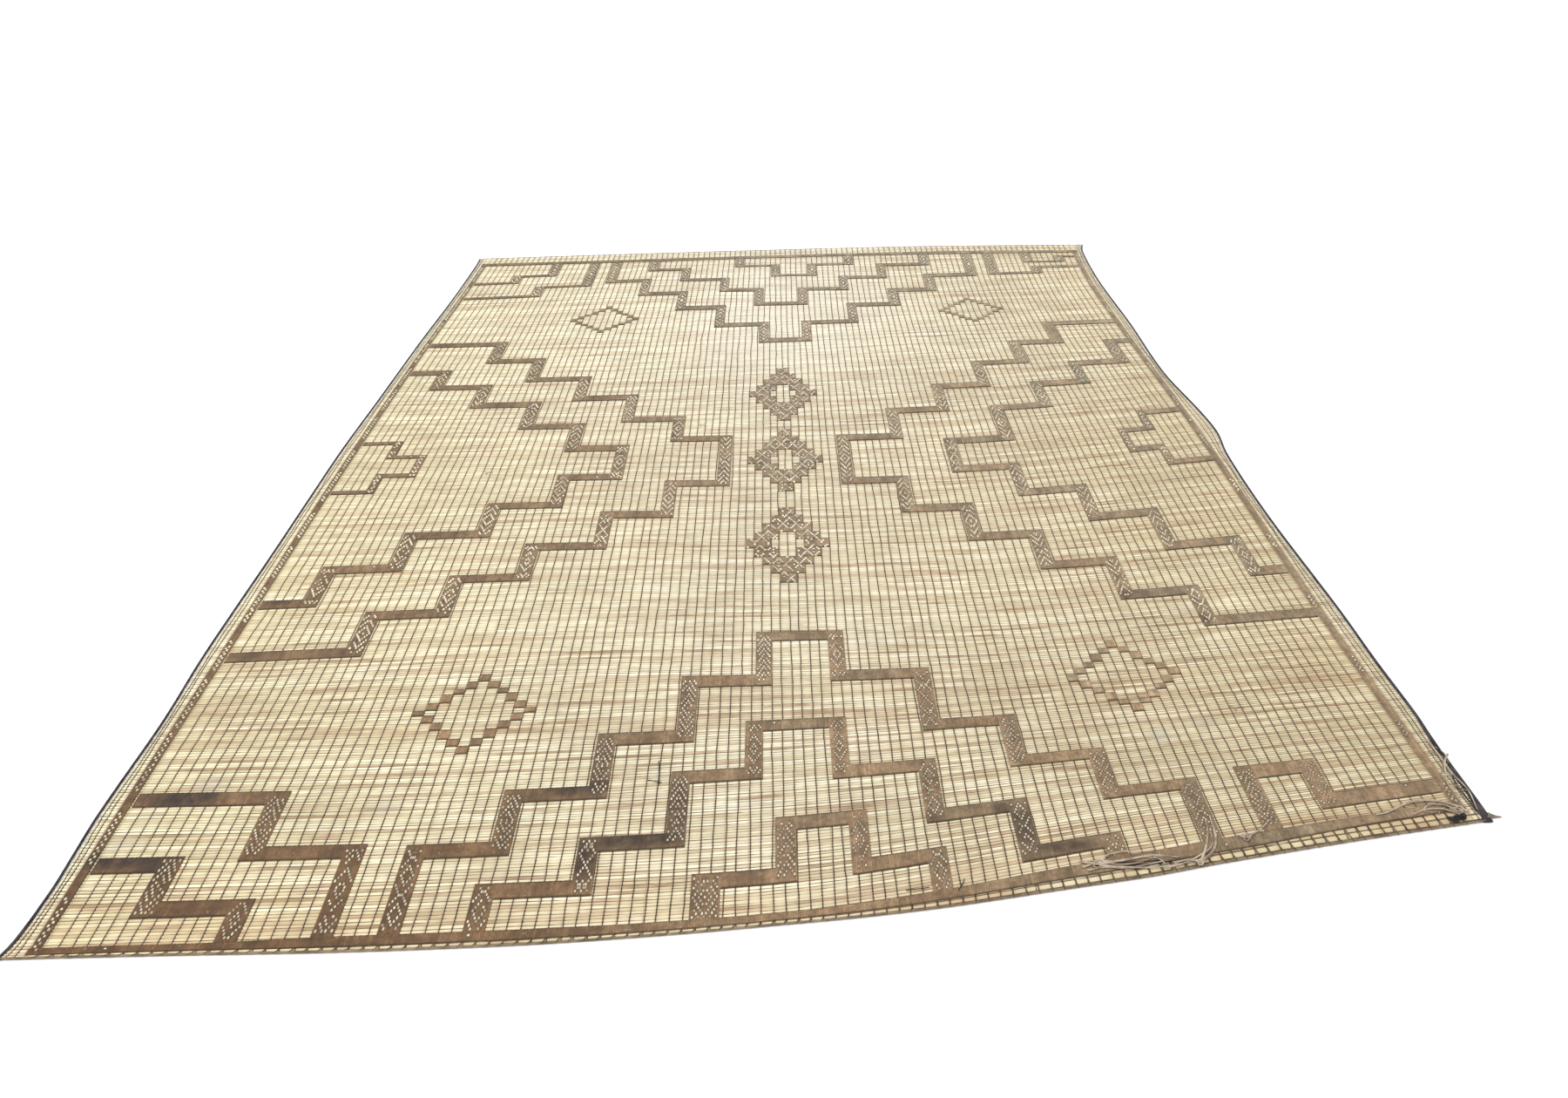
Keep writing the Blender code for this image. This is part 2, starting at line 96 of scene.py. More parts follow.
def curveThrough(knots, values, at):
    # a smooth curve through a few values, straight beyond the last ones
    knots = np.asarray(knots, float)
    values = np.asarray(values, float)
    at = np.asarray(at, float)
    last = len(knots) - 1
    before = np.maximum(np.arange(last + 1) - 1, 0)
    after = np.minimum(np.arange(last + 1) + 1, last)
    slopes = (values[after] - values[before]) / (knots[after] - knots[before])
    span = np.clip(np.searchsorted(knots, at, side="right") - 1, 0, last - 1)
    width = knots[span + 1] - knots[span]
    t = (at - knots[span]) / width
    rise = values[span + 1] - values[span]
    start = slopes[span] * width
    end = slopes[span + 1] * width
    inside = values[span] + t * start + t ** 2 * (3 * rise - 2 * start - end)
    inside = inside + t ** 3 * (start + end - 2 * rise)
    below = values[0] + slopes[0] * (at - knots[0])
    above = values[last] + slopes[last] * (at - knots[last])
    return np.where(at <= knots[0], below, np.where(at >= knots[last], above, inside))


def alongRows(table, name, row):
    return curveThrough(table["row"], table[name], row)


def cordsWidth(cells):
    return layout["cellPitch"] * cells - layout["drawnIn"] * (1 - np.exp(-cells / layout["drawnCells"]))


def place(cell, row):
    # where a point of the pattern lies on the floor
    cell, row = np.broadcast_arrays(np.asarray(cell, float), np.asarray(row, float))
    mid = alongRows(lie, "xMid", row)
    side = np.where(cell < 0, alongRows(lie, "xLeft", row), alongRows(lie, "xRight", row))
    x = mid + (side - mid) * cordsWidth(np.abs(cell)) / cordsWidth(layout["halfCells"])
    y = np.zeros(cell.shape)
    for name, values in zip(heightsAt, np.eye(len(heightsAt))):
        weight = curveThrough(list(heightsAt.values()), values, cell)
        y = y + weight * alongRows(lie, name, row)
    sagging = np.clip((hemSag["from"] - row) / (hemSag["from"] - hemSag["hem"]), 0, 1)
    y = y - curveThrough(hemSag["cell"], hemSag["drop"], cell) * sagging
    return x - layout["middle"][0], y - layout["middle"][1]


def placeEdge(side, row, inset):
    # a point of the left (-1) or right (1) edge of the mat, moved inwards by inset
    x, y = place(side * layout["halfCells"], row)
    innerX, innerY = place(side * (layout["halfCells"] - 1), row)
    away = alongRows(sideReach, "left" if side < 0 else "right", row) - inset
    length = np.hypot(x - innerX, y - innerY)
    return x + (x - innerX) / length * away, y + (y - innerY) / length * away


def placeBeyond(side, row, share):
    # between the outer edge of the border (share 0) and the binding (share 1)
    borderX, borderY = place(side * layout["outerCell"], row)
    rimX, rimY = placeEdge(side, row, layout["inset"])
    return borderX + (rimX - borderX) * share, borderY + (rimY - borderY) * share


# finishes
def shaderOf(finish):
    return finish.node_tree.nodes["Principled BSDF"]


def newFinish(name, roughness):
    finish = bpy.data.materials.new(name)
    finish.use_nodes = True
    shaderOf(finish).inputs["Roughness"].default_value = roughness
    shaderOf(finish).inputs["Specular IOR Level"].default_value = 0.25
    return finish


def feed(finish, value, socket):
    if isinstance(value, bpy.types.NodeSocket):
        finish.node_tree.links.new(value, socket)
    else:
        socket.default_value = value


def addNode(finish, kind, inputs, **settings):
    node = finish.node_tree.nodes.new(kind)
    for name, value in settings.items():
        setattr(node, name, value)
    for name, value in inputs.items():
        feed(finish, value, node.inputs[name])
    return node


def calc(finish, operation, first, second=0.5, third=0.5):
    node = addNode(finish, "ShaderNodeMath", {0: first, 1: second, 2: third}, operation=operation)
    return node.outputs[0]


def stretch(finish, value, low, high, newLow=0.0, newHigh=1.0):
    inputs = {"Value": value, "From Min": low, "From Max": high, "To Min": newLow, "To Max": newHigh}
    return addNode(finish, "ShaderNodeMapRange", inputs, interpolation_type="SMOOTHSTEP").outputs["Result"]


def mixColour(finish, share, first, second, how="MIX"):
    inputs = {0: share, 6: first, 7: second}
    return addNode(finish, "ShaderNodeMix", inputs, data_type="RGBA", blend_type=how).outputs[2]


def tinted(finish, colour, tint):
    return mixColour(finish, 1.0, colour, tint, "MULTIPLY")


def times(finish, first, *others):
    for value in others:
        first = calc(finish, "MULTIPLY", first, value)
    return first


def distance(finish, first, second):
    squares = calc(finish, "MULTIPLY_ADD", first, first, times(finish, second, second))
    return calc(finish, "SQRT", squares)


def colourBand(finish, value, stops):
    node = addNode(finish, "ShaderNodeValToRGB", {"Fac": value})
    elements = node.color_ramp.elements
    while len(elements) < len(stops):
        elements.new(0.5)
    for element, (position, colour) in zip(elements, stops):
        element.position = position
        element.color = (*colour, 1.0)
    return node.outputs["Color"]


def combine(finish, x, y, z=0.0):
    return addNode(finish, "ShaderNodeCombineXYZ", {"X": x, "Y": y, "Z": z}).outputs[0]


def partsOf(finish, vector):
    parts = addNode(finish, "ShaderNodeSeparateXYZ", {"Vector": vector})
    return parts.outputs["X"], parts.outputs["Y"]


def chance(finish, first, second=None):
    # the same random number wherever the values are the same
    if second is None:
        noise = addNode(finish, "ShaderNodeTexWhiteNoise", {"W": first}, noise_dimensions="1D")
    else:
        inputs = {"Vector": combine(finish, first, second)}
        noise = addNode(finish, "ShaderNodeTexWhiteNoise", inputs, noise_dimensions="2D")
    return noise.outputs["Value"]


def cloud(finish, vector, scale, detail):
    inputs = {"Vector": vector, "Scale": scale, "Detail": detail, "Roughness": 0.55}
    return addNode(finish, "ShaderNodeTexNoise", inputs, noise_dimensions="3D").outputs["Fac"]


def patchy(finish, spot, scale, detail, *levels):
    return stretch(finish, cloud(finish, spot, scale, detail), *levels)


def streaks(finish, cell, reed, cellScale, reedScale, layer, detail=3.0):
    # noise that is drawn out along the reeds or the strips
    vector = combine(finish, times(finish, cell, cellScale), times(finish, reed, reedScale), layer)
    return cloud(finish, vector, 1.0, detail)


def weaveOf(finish):
    # the cell or the strip, and the reed, from the piece's own map
    return partsOf(finish, addNode(finish, "ShaderNodeUVMap", {}, uv_map="weave").outputs["UV"])


def spotOf(finish):
    return addNode(finish, "ShaderNodeTexCoord", {}).outputs["Object"]


def markOf(finish, name):
    return addNode(finish, "ShaderNodeAttribute", {}, attribute_name=name).outputs["Fac"]


def acrossMat(finish, x):
    # 0 at the left edge, 1 at the right one
    return calc(finish, "MULTIPLY_ADD", x, 0.36, 0.5)


def awayOnMat(finish, y):
    # 0 at the near edge, 1 at the far one
    return calc(finish, "MULTIPLY_ADD", y, 0.26, 0.5)


def nearEdge(finish, value):
    # 0 in the middle of each whole number's span, 1 at its two ends
    share = calc(finish, "FRACT", value)
    return times(finish, calc(finish, "ABSOLUTE", calc(finish, "SUBTRACT", share, 0.5)), 2.0)


def rounded(finish, value, power):
    # 1 in the middle of each whole number's span, falling to 0 at its two ends
    return calc(finish, "SUBTRACT", 1.0, calc(finish, "POWER", nearEdge(finish, value), power))


def addRelief(finish, height, depth, strength):
    inputs = {"Height": height, "Distance": depth, "Strength": strength}
    bump = addNode(finish, "ShaderNodeBump", inputs)
    feed(finish, bump.outputs["Normal"], shaderOf(finish).inputs["Normal"])


def setLook(finish, colour, roughness=None):
    feed(finish, colour, shaderOf(finish).inputs["Base Color"])
    if roughness is not None:
        feed(finish, roughness, shaderOf(finish).inputs["Roughness"])


# In a look, four numbers bring a value from the first two to the last two. Six start with
# a noise's scale and detail. The size of streaks is their scale over the cells or strips and
# over the reeds, a layer of the noise, and perhaps its detail. The two numbers of a width, an
# edge or a share bring a value to between 0 and 1. Those of streaks, of the shade beside a cord
# and of grey clouds are a factor and what is added.
reedLook = {
    "shades": (
        (0.00, (0.92, 0.87, 0.66)),
        (0.28, (0.84, 0.77, 0.55)),
        (0.52, (0.74, 0.66, 0.44)),
        (0.74, (0.64, 0.53, 0.34)),
        (0.90, (0.56, 0.41, 0.28)),
        (1.00, (0.42, 0.30, 0.18)),
    ),
    "tan": (0.60, 0.45, 0.30, 1.0),
    # the pale of the painted pool of light over the far middle, and of the reed ends
    "paintedLightAndPaleEnds": (0.86, 0.83, 0.68, 1.0),
    # painted shade between the reeds
    "gap": (0.17, 0.115, 0.06, 1.0),
    # painted shade where the reeds dip under the cords
    "shadeAtCord": (0.34, 0.26, 0.15, 1.0),
    "grey": (0.42, 0.38, 0.30, 1.0),
    "leftToRight": (
        (0.00, (0.96, 0.95, 0.87)),
        (0.45, (0.95, 0.95, 0.98)),
        (0.72, (0.93, 0.91, 0.89)),
        (1.00, (0.91, 0.86, 0.775)),
    ),
    "nearToFar": (
        (0.00, (0.90, 0.84, 0.79)),
        (0.035, (0.88, 0.86, 0.84)),
        (0.08, (0.87, 0.87, 0.87)),
        (0.35, (0.90, 0.90, 0.91)),
        (0.52, (0.93, 0.94, 0.98)),
        (0.75, (1.02, 1.06, 1.16)),
        (1.00, (1.03, 1.06, 1.15)),
    ),
    "streakSize": (0.11, 5.7, 0.0),
    "streaks": (1.85, -0.72),
    "perReed": 0.54,
    "middleShade": 0.47,
    "weathered": (-1.6, 0.2, 1.35, 1.0),
    "tanSize": (0.05, 0.42, 9.0),
    "tanShare": (0.46, 0.74, 0.0, 0.85),
    "segments": (0.0, 1.0, 0.94, 1.05),
    "cordPower": 2.2,
    "shadeNearCord": (-0.16, 1.05),
    "fibreSize": (0.8, 7.0, 0.0),
    "fibres": (0.25, 0.75, 0.90, 1.06),
    "clouds": (3.0, 3.0, 0.3, 0.7, 0.94, 1.05),
    # the painted pool of light: its middle, how much narrower it is across, and how it fades out; then
    # where the pale reed ends start
    "paintedLightAt": (0.02, 1.05),
    "paintedLightNarrow": 1.5,
    "paintedLightShare": (0.10, 1.0, 0.45, 0.0),
    "paleEnds": (56.0, 56.3, 0.0, 0.22),
    "gapWidth": (0.62, 1.0),
    "perGap": (0.2, 1.0, 0.35, 1.25),
    "gapSize": (0.35, 3.3, 4.0, 2.0),
    "gapRuns": (0.3, 0.7, 0.20, 1.5),
    "gapsNear": (-1.75, -0.8, 1.95, 1.0),
    "gapsRight": (0.2, 1.1, 1.0, 1.5),
    "gapSplits": (0.970, 0.985, 0.0, 0.8),
    "gapSeeds": (700.0, 90.0),      # added to a reed's number, for other random values
    "shadeAtCordShare": (0.80, 0.97, 0.0, 0.60),
    "greyShare": 0.6,
    "roughness": (0.2, 0.8, 0.48, 0.66),
    "fibreHeight": 0.25,
    "relief": (0.0008, 0.45),
}


def reedColour(finish, cell, reed, spot, fibre):
    # streaks along the reeds, bands of tan reeds, a painted pool of light that washes the far middle pale,
    # and pale reed ends
    look = reedLook
    x, y = partsOf(finish, spot)
    number = calc(finish, "FLOOR", reed)
    streak = streaks(finish, cell, number, *look["streakSize"])
    shade = calc(finish, "MULTIPLY_ADD", streak, *look["streaks"])
    shade = calc(finish, "MULTIPLY_ADD", chance(finish, number), look["perReed"], shade)
    fromMiddle = calc(finish, "SUBTRACT", shade, look["middleShade"])
    weathered = stretch(finish, y, *look["weathered"])
    shade = calc(finish, "MULTIPLY_ADD", fromMiddle, weathered, look["middleShade"])
    colour = colourBand(finish, shade, look["shades"])
    tan = stretch(finish, streaks(finish, cell, number, *look["tanSize"]), *look["tanShare"])
    colour = mixColour(finish, tan, colour, look["tan"])
    segment = chance(finish, calc(finish, "FLOOR", cell), number)
    # painted light and shade of each bulging reed segment: brighter in its middle, darker towards the
    # cords
    nearCord = calc(finish, "POWER", nearEdge(finish, cell), look["cordPower"])
    bright = times(
        finish,
        stretch(finish, segment, *look["segments"]),
        calc(finish, "MULTIPLY_ADD", nearCord, *look["shadeNearCord"]),
        stretch(finish, fibre, *look["fibres"]),
        patchy(finish, spot, *look["clouds"]))
    colour = tinted(finish, colour, bright)
    colour = tinted(finish, colour, colourBand(finish, acrossMat(finish, x), look["leftToRight"]))
    colour = tinted(finish, colour, colourBand(finish, awayOnMat(finish, y), look["nearToFar"]))
    # painted light: a broad pale pool over the far middle of the mat; the reed ends beyond the border are
    # pale of their own
    fromX = times(finish, calc(finish, "SUBTRACT", x, look["paintedLightAt"][0]), look["paintedLightNarrow"])
    fromY = calc(finish, "SUBTRACT", y, look["paintedLightAt"][1])
    paintedLightAndPaleEnds = stretch(finish, distance(finish, fromX, fromY), *look["paintedLightShare"])
    ends = stretch(finish, calc(finish, "ABSOLUTE", cell), *look["paleEnds"])
    return mixColour(finish, calc(finish, "MAXIMUM", paintedLightAndPaleEnds, ends), colour, look["paintedLightAndPaleEnds"])


def reedGapShade(finish, cell, reed, spot):
    # painted shade in the gap between two reeds: how dark it is, in runs, and darker where two reeds part
    look = reedLook
    x, y = partsOf(finish, spot)
    number = calc(finish, "ROUND", reed)
    darkSeed, splitSeed = look["gapSeeds"]
    depth = times(
        finish,
        stretch(finish, chance(finish, calc(finish, "ADD", number, darkSeed)), *look["perGap"]),
        stretch(finish, streaks(finish, cell, number, *look["gapSize"]), *look["gapRuns"]),
        stretch(finish, y, *look["gapsNear"]),
        stretch(finish, x, *look["gapsRight"]))
    pairOfCells = calc(finish, "FLOOR", times(finish, cell, 0.5))
    split = chance(finish, pairOfCells, calc(finish, "ADD", number, splitSeed))
    depth = calc(finish, "ADD", depth, stretch(finish, split, *look["gapSplits"]))
    return times(finish, stretch(finish, nearEdge(finish, reed), *look["gapWidth"]), depth)


def makeReedFinish():
    look = reedLook
    finish = newFinish("reed", 0.55)
    cell, reed = weaveOf(finish)
    spot = spotOf(finish)
    fibre = streaks(finish, cell, reed, *look["fibreSize"])
    colour = reedColour(finish, cell, reed, spot, fibre)
    # painted shade in the gaps between the reeds
    colour = mixColour(finish, reedGapShade(finish, cell, reed, spot), colour, look["gap"])
    # painted shade where the reeds dip under the cords
    shadeAtCord = stretch(finish, nearEdge(finish, cell), *look["shadeAtCordShare"])
    colour = mixColour(finish, shadeAtCord, colour, look["shadeAtCord"])
    dirt = times(finish, markOf(finish, "stain"), look["greyShare"])
    colour = mixColour(finish, dirt, colour, look["grey"])
    setLook(finish, colour, stretch(finish, fibre, *look["roughness"]))
    height = calc(finish, "MULTIPLY_ADD", fibre, look["fibreHeight"], rounded(finish, reed, 3.0))
    addRelief(finish, height, *look["relief"])
    return finish


leatherLook = {
    "near": (0.330, 0.210, 0.124),
    "middle": (0.365, 0.254, 0.163),
    "far": (0.385, 0.295, 0.200),
    "leftToRight": (
        (0.00, (0.55, 0.49, 0.40)),
        (0.40, (0.69, 0.67, 0.60)),
        (0.50, (0.85, 0.85, 0.79)),
        (0.60, (0.79, 0.79, 0.73)),
        (0.72, (0.85, 0.86, 0.80)),
        (1.00, (0.91, 0.94, 0.92)),
    ),
    "greyer": (0.82, 0.94, 1.02, 1.0),
    "nearLeft": (0.76, 0.68, 0.59, 1.0),
    # painted shade in the grooves and along the rims, and painted shade with dirt beside the dots
    "shadeAndDirt": (0.060, 0.038, 0.022, 1.0),
    # painted shade and dirt beside and round the dots
    "beside": (0.130, 0.085, 0.050, 1.0),
    "stain": (0.030, 0.022, 0.017, 1.0),
    "scuff": (0.42, 0.33, 0.23, 1.0),
    "nearSide": (0.02, 0.17, 1.0, 0.0),
    "leftSide": (0.2, 0.5, 1.0, 0.0),
    "perStrip": (0.0, 1.0, 0.92, 1.08),
    "runSize": (0.23, 2.5, 0.0),
    "runs": (0.32, 0.66, 1.12, 0.80),
    "greySize": (5.0, 3.0),
    "greyClouds": (1.2, -0.55),
    "perPatch": 0.9,
    "greyShare": (0.2, 1.0),
    "crossings": (0.0, 1.0, 0.88, 1.12),
    "blotches": (13.0, 4.0, 0.32, 0.66, 1.14, 0.76),
    "flecks": (75.0, 3.0, 0.3, 0.7, 0.82, 1.16),
    "scuffs": (95.0, 4.0, 0.62, 0.78, 0.0, 0.55),
    # painted shade in the grooves between strips
    "shadeInGrooves": (0.62, 1.0, 0.0, 0.30),
    # the painted shadow line along a patch's long edges
    "rimShadows": (0.45, 1.0, 0.0, 0.75),
    "shadeAndDirtBesideDots": 0.50,
    "stainClouds": (45.0, 3.0, 0.3, 0.6, 0.65, 1.0),
    "roughness": (0.0, 1.0, 0.50, 0.68),
    "grain": (900.0, 3.0),
    "grainHeight": 0.35,
    "relief": (0.0006, 0.5),
    "stripBlock": 50,      # the strips of a patch are numbered from a multiple of this
}


def leatherColour(finish, tone, strip, crossing, spot):
    # browner near and greyer far, with shades of its own in every strip and crossing
    look = leatherLook
    x, y = partsOf(finish, spot)
    across, away = acrossMat(finish, x), awayOnMat(finish, y)
    stops = []
    for position, part in ((0.0, "near"), (0.45, "middle"), (1.0, "far")):
        stops.append((position, tuple(value * tone for value in look[part])))
    colour = colourBand(finish, away, stops)
    colour = tinted(finish, colour, colourBand(finish, across, look["leftToRight"]))
    nearSide = stretch(finish, away, *look["nearSide"])
    leftSide = stretch(finish, across, *look["leftSide"])
    nearLeft = times(finish, nearSide, leftSide)
    colour = mixColour(finish, nearLeft, colour, look["nearLeft"], "MULTIPLY")
    patchNumber = calc(finish, "FLOOR", times(finish, strip, 1 / look["stripBlock"]))
    greyer = calc(finish, "MULTIPLY_ADD", cloud(finish, spot, *look["greySize"]), *look["greyClouds"])
    greyer = calc(finish, "MULTIPLY_ADD", chance(finish, patchNumber), look["perPatch"], greyer)
    greyer = times(finish, stretch(finish, greyer, *look["greyShare"]), across)
    colour = mixColour(finish, greyer, colour, look["greyer"], "MULTIPLY")
    stripNumber = calc(finish, "FLOOR", strip)
    bright = times(
        finish,
        stretch(finish, chance(finish, stripNumber), *look["perStrip"]),
        stretch(finish, streaks(finish, stripNumber, 1.0, *look["runSize"]), *look["runs"]),
        stretch(finish, crossing, *look["crossings"]),
        patchy(finish, spot, *look["blotches"]),
        patchy(finish, spot, *look["flecks"]))
    colour = tinted(finish, colour, bright)
    return mixColour(finish, patchy(finish, spot, *look["scuffs"]), colour, look["scuff"])


def makeLeatherFinish(name, tone):
    look = leatherLook
    finish = newFinish(name, 0.60)
    strip, reed = weaveOf(finish)
    spot = spotOf(finish)
    crossing = chance(finish, calc(finish, "FLOOR", strip), calc(finish, "FLOOR", reed))
    colour = leatherColour(finish, tone, strip, crossing, spot)
    # painted shade in the grooves between strips and along the rims, and painted shade with dirt beside
    # the dots
    shadeAndDirtPlaces = (
        stretch(finish, nearEdge(finish, strip), *look["shadeInGrooves"]),
        stretch(finish, markOf(finish, "rimShadow"), *look["rimShadows"]),
        times(finish, markOf(finish, "beside"), look["shadeAndDirtBesideDots"]),
    )
    for share in shadeAndDirtPlaces:
        colour = mixColour(finish, share, colour, look["shadeAndDirt"])
    stain = times(finish, markOf(finish, "stain"), patchy(finish, spot, *look["stainClouds"]))
    colour = mixColour(finish, stain, colour, look["stain"])
    setLook(finish, colour, stretch(finish, crossing, *look["roughness"]))
    grain = cloud(finish, spot, *look["grain"])
    height = calc(finish, "MULTIPLY_ADD", grain, look["grainHeight"], rounded(finish, strip, 2.0))
    addRelief(finish, height, *look["relief"])
    return finish


dotLook = {
    "pale": (0.86, 0.78, 0.58, 1.0),
    "widerFar": (-1.35, -0.75, 1.0, 0.55),
    "worn": (0.0, 1.0, 0.58, 1.08),
    "dimmerNear": (-1.6, -0.9, 0.80, 1.0),
    "clouds": (12.0, 2.0, 0.3, 0.7, 0.75, 1.05),
    "edge": (0.66, 1.0),
}


def makeDotFinish():
    # a reed seen through the leather: pale and round in the middle, with painted shade and dirt dark round
    # it
    look = dotLook
    finish = newFinish("reed_dot", 0.6)
    strip, reed = weaveOf(finish)
    spot = spotOf(finish)
    x, y = partsOf(finish, spot)
    fromMiddle = distance(finish, nearEdge(finish, strip), nearEdge(finish, reed))
    fromMiddle = times(finish, fromMiddle, stretch(finish, y, *look["widerFar"]))
    crossing = chance(finish, calc(finish, "FLOOR", strip), calc(finish, "FLOOR", reed))
    shade = times(
        finish,
        stretch(finish, crossing, *look["worn"]),
        stretch(finish, y, *look["dimmerNear"]),
        patchy(finish, spot, *look["clouds"]))
    pale = tinted(finish, look["pale"], shade)
    pale = tinted(finish, pale, colourBand(finish, acrossMat(finish, x), reedLook["leftToRight"]))
    edge = stretch(finish, fromMiddle, *look["edge"])
    setLook(finish, mixColour(finish, edge, pale, leatherLook["beside"]))
    return finish


def makeCordFinish(name, dark, light, scale):
    # plain leather thong, darker and lighter along its length
    finish = newFinish(name, 0.62)
    spot = spotOf(finish)
    setLook(finish, colourBand(finish, cloud(finish, spot, scale, 3.0), ((0.30, dark), (0.72, light))))
    addRelief(finish, cloud(finish, spot, scale * 9, 3.0), 0.0004, 0.5)
    return finish


reedFinish = makeReedFinish()
leatherFinish = makeLeatherFinish("leather", 1.0)
palerLeatherFinish = makeLeatherFinish("leather_paler", 1.3)
dotFinish = makeDotFinish()
cordFinish = makeCordFinish("cord", (0.048, 0.033, 0.018), (0.135, 0.094, 0.052), 26.0)
hemFinish = makeCordFinish("hem_cord", (0.110, 0.078, 0.046), (0.300, 0.225, 0.145), 34.0)
bindingFinish = makeCordFinish("binding", (0.014, 0.012, 0.016), (0.065, 0.052, 0.056), 38.0)
thongFinish = makeCordFinish("thong", (0.22, 0.165, 0.120), (0.56, 0.46, 0.35), 48.0)
tabFinish = makeCordFinish("tab", (0.110, 0.090, 0.062), (0.330, 0.280, 0.200), 60.0)
blackFinish = makeCordFinish("black_knot", (0.010, 0.009, 0.010), (0.035, 0.030, 0.030), 60.0)
threadFinish = makeCordFinish("thread", (0.20, 0.17, 0.11), (0.40, 0.34, 0.22), 70.0)
print("finishes made")


# tools for woven pieces
def addGrid(name, across, along):
    bpy.ops.object.select_all(action="DESELECT")
    bpy.ops.mesh.primitive_grid_add(x_subdivisions=across, y_subdivisions=along, size=2, calc_uvs=False)
    piece = bpy.context.object
    piece.name = name
    piece.data.name = name
    return piece


def gridSteps(piece, across, along):
    # the column and the line of each point of a new grid
    points = np.zeros(len(piece.data.vertices) * 3, np.float32)
    piece.data.vertices.foreach_get("co", points)
    points = points.reshape(-1, 3)
    columns = np.rint((points[:, 0] + 1) / 2 * across).astype(int)
    lines = np.rint((points[:, 1] + 1) / 2 * along).astype(int)
    return columns, lines


def movePoints(piece, x, y, z):
    points = np.stack(np.broadcast_arrays(x, y, z), axis=1).astype(np.float32)
    piece.data.vertices.foreach_set("co", points.ravel())
    piece.data.update()


def cornersOf(piece):
    # the point number at each corner of each face
    corners = np.zeros(len(piece.data.loops), np.int32)
    piece.data.loops.foreach_get("vertex_index", corners)
    return corners


def addWeave(piece, across, along):
    # the piece's own map: cells or strips across, reeds along
    corners = cornersOf(piece)
    layer = piece.data.uv_layers.new(name="weave")
    spots = np.stack([across[corners], along[corners]], axis=1).astype(np.float32)
    layer.data.foreach_set("uv", spots.ravel())


def addMark(piece, name, values):
    mark = piece.data.attributes.new(name, "FLOAT", "POINT")
    mark.data.foreach_set("value", np.asarray(values, np.float32))


def openForEdit(piece):
    bpy.ops.object.select_all(action="DESELECT")
    piece.select_set(True)
    bpy.context.view_layer.objects.active = piece
    bpy.ops.object.mode_set(mode="EDIT")
    bpy.ops.mesh.select_mode(type="EDGE")
    bpy.ops.mesh.select_all(action="DESELECT")


def mergePoints(threshold):
    bpy.ops.mesh.select_all(action="SELECT")
    bpy.ops.mesh.remove_doubles(threshold=threshold)
    bpy.ops.mesh.select_all(action="DESELECT")


def copiesOf(model, count):
    # copies of one grid, each with its own mesh
    copies = []
    for _ in range(count):
        piece = model.copy()
        piece.data = model.data.copy()
        bpy.context.scene.collection.objects.link(piece)
        copies.append(piece)
    bpy.data.objects.remove(model)
    return copies


def joinPieces(name, pieces):
    bpy.ops.object.select_all(action="DESELECT")
    for piece in pieces:
        piece.select_set(True)
    bpy.context.view_layer.objects.active = pieces[0]
    if len(pieces) > 1:
        bpy.ops.object.join()
    joined = bpy.context.view_layer.objects.active
    joined.name = name
    joined.data.name = name
    return joined


def settle(piece, finish, slot, *nodes):
    # the finish, the record's slot, which is not used, and the nodes that the piece stands for
    if finish:
        piece.data.materials.clear()
        piece.data.materials.append(finish)
    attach(piece, "root")
    if nodes:
        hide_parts(*nodes)


def darkSpots(x, y, spots):
    # how dark the stains are at each point: place, half width, half height and strength of each
    dark = np.zeros(np.shape(x))
    for spotX, spotY, halfWidth, halfHeight, strength in spots:
        fromSpot = ((x - spotX) / halfWidth) ** 2 + ((y - spotY) / halfHeight) ** 2
        dark = np.maximum(dark, strength * np.exp(-fromSpot ** 2))
    return dark


# reeds
reeds = {
    "near": -1.8450,
    "far": 1.9150,
    "count": 482,
    "thinnest": 0.0066,
    "thickest": 0.0092,
    "usual": 0.0078,       # only for how many reeds a bar of leather covers
    "valley": 0.0029,
    "crest": 0.0045,
    "crestSpread": 0.00018,
    "tied": 0.0040,        # the crest under a cord
    "wobble": 0.00045,
    "wobbleKnots": 48,
    "beyondCells": (0.5, 1.0, 1.5, 2.0, 3.0),
    "beyondShares": (0.26, 0.52, 0.72, 0.88, 1.00),     # of the way from the border to the binding
    "greySpots": (
        (-1.200, -1.455, 0.030, 0.026, 0.7),
        (-1.300, -1.610, 0.035, 0.022, 0.7),
        (-1.285, -1.545, 0.022, 0.045, 0.4),
        (-0.830, -1.553, 0.030, 0.020, 0.8),
        (0.875, -1.428, 0.030, 0.020, 0.8),
        (0.769, -1.462, 0.030, 0.020, 0.8),
    ),
}
reedWidths = dice.uniform(reeds["thinnest"], reeds["thickest"], reeds["count"])
reedWidths = reedWidths * (reeds["far"] - reeds["near"]) / reedWidths.sum()
reedLines = reeds["near"] + np.concatenate([[0.0], np.cumsum(reedWidths)])
crestHeights = reeds["crest"] + dice.normal(0, reeds["crestSpread"], reeds["count"])


def nearestReed(row):
    return int(np.argmin(np.abs(reedLines - row)))


def wobbleOf(cells):
    # how far each reed's edge and crest stray from their rows, at each cell
    count = reeds["wobbleKnots"]
    stray = np.random.default_rng(5).normal(0, reeds["wobble"], (reeds["count"] * 2 + 1, count))
    stray[[0, -1]] = 0
    knots = np.linspace(cells[0], cells[-1], count)
    share = np.array([np.interp(cells, knots, values) for values in np.eye(count)])
    return stray @ share


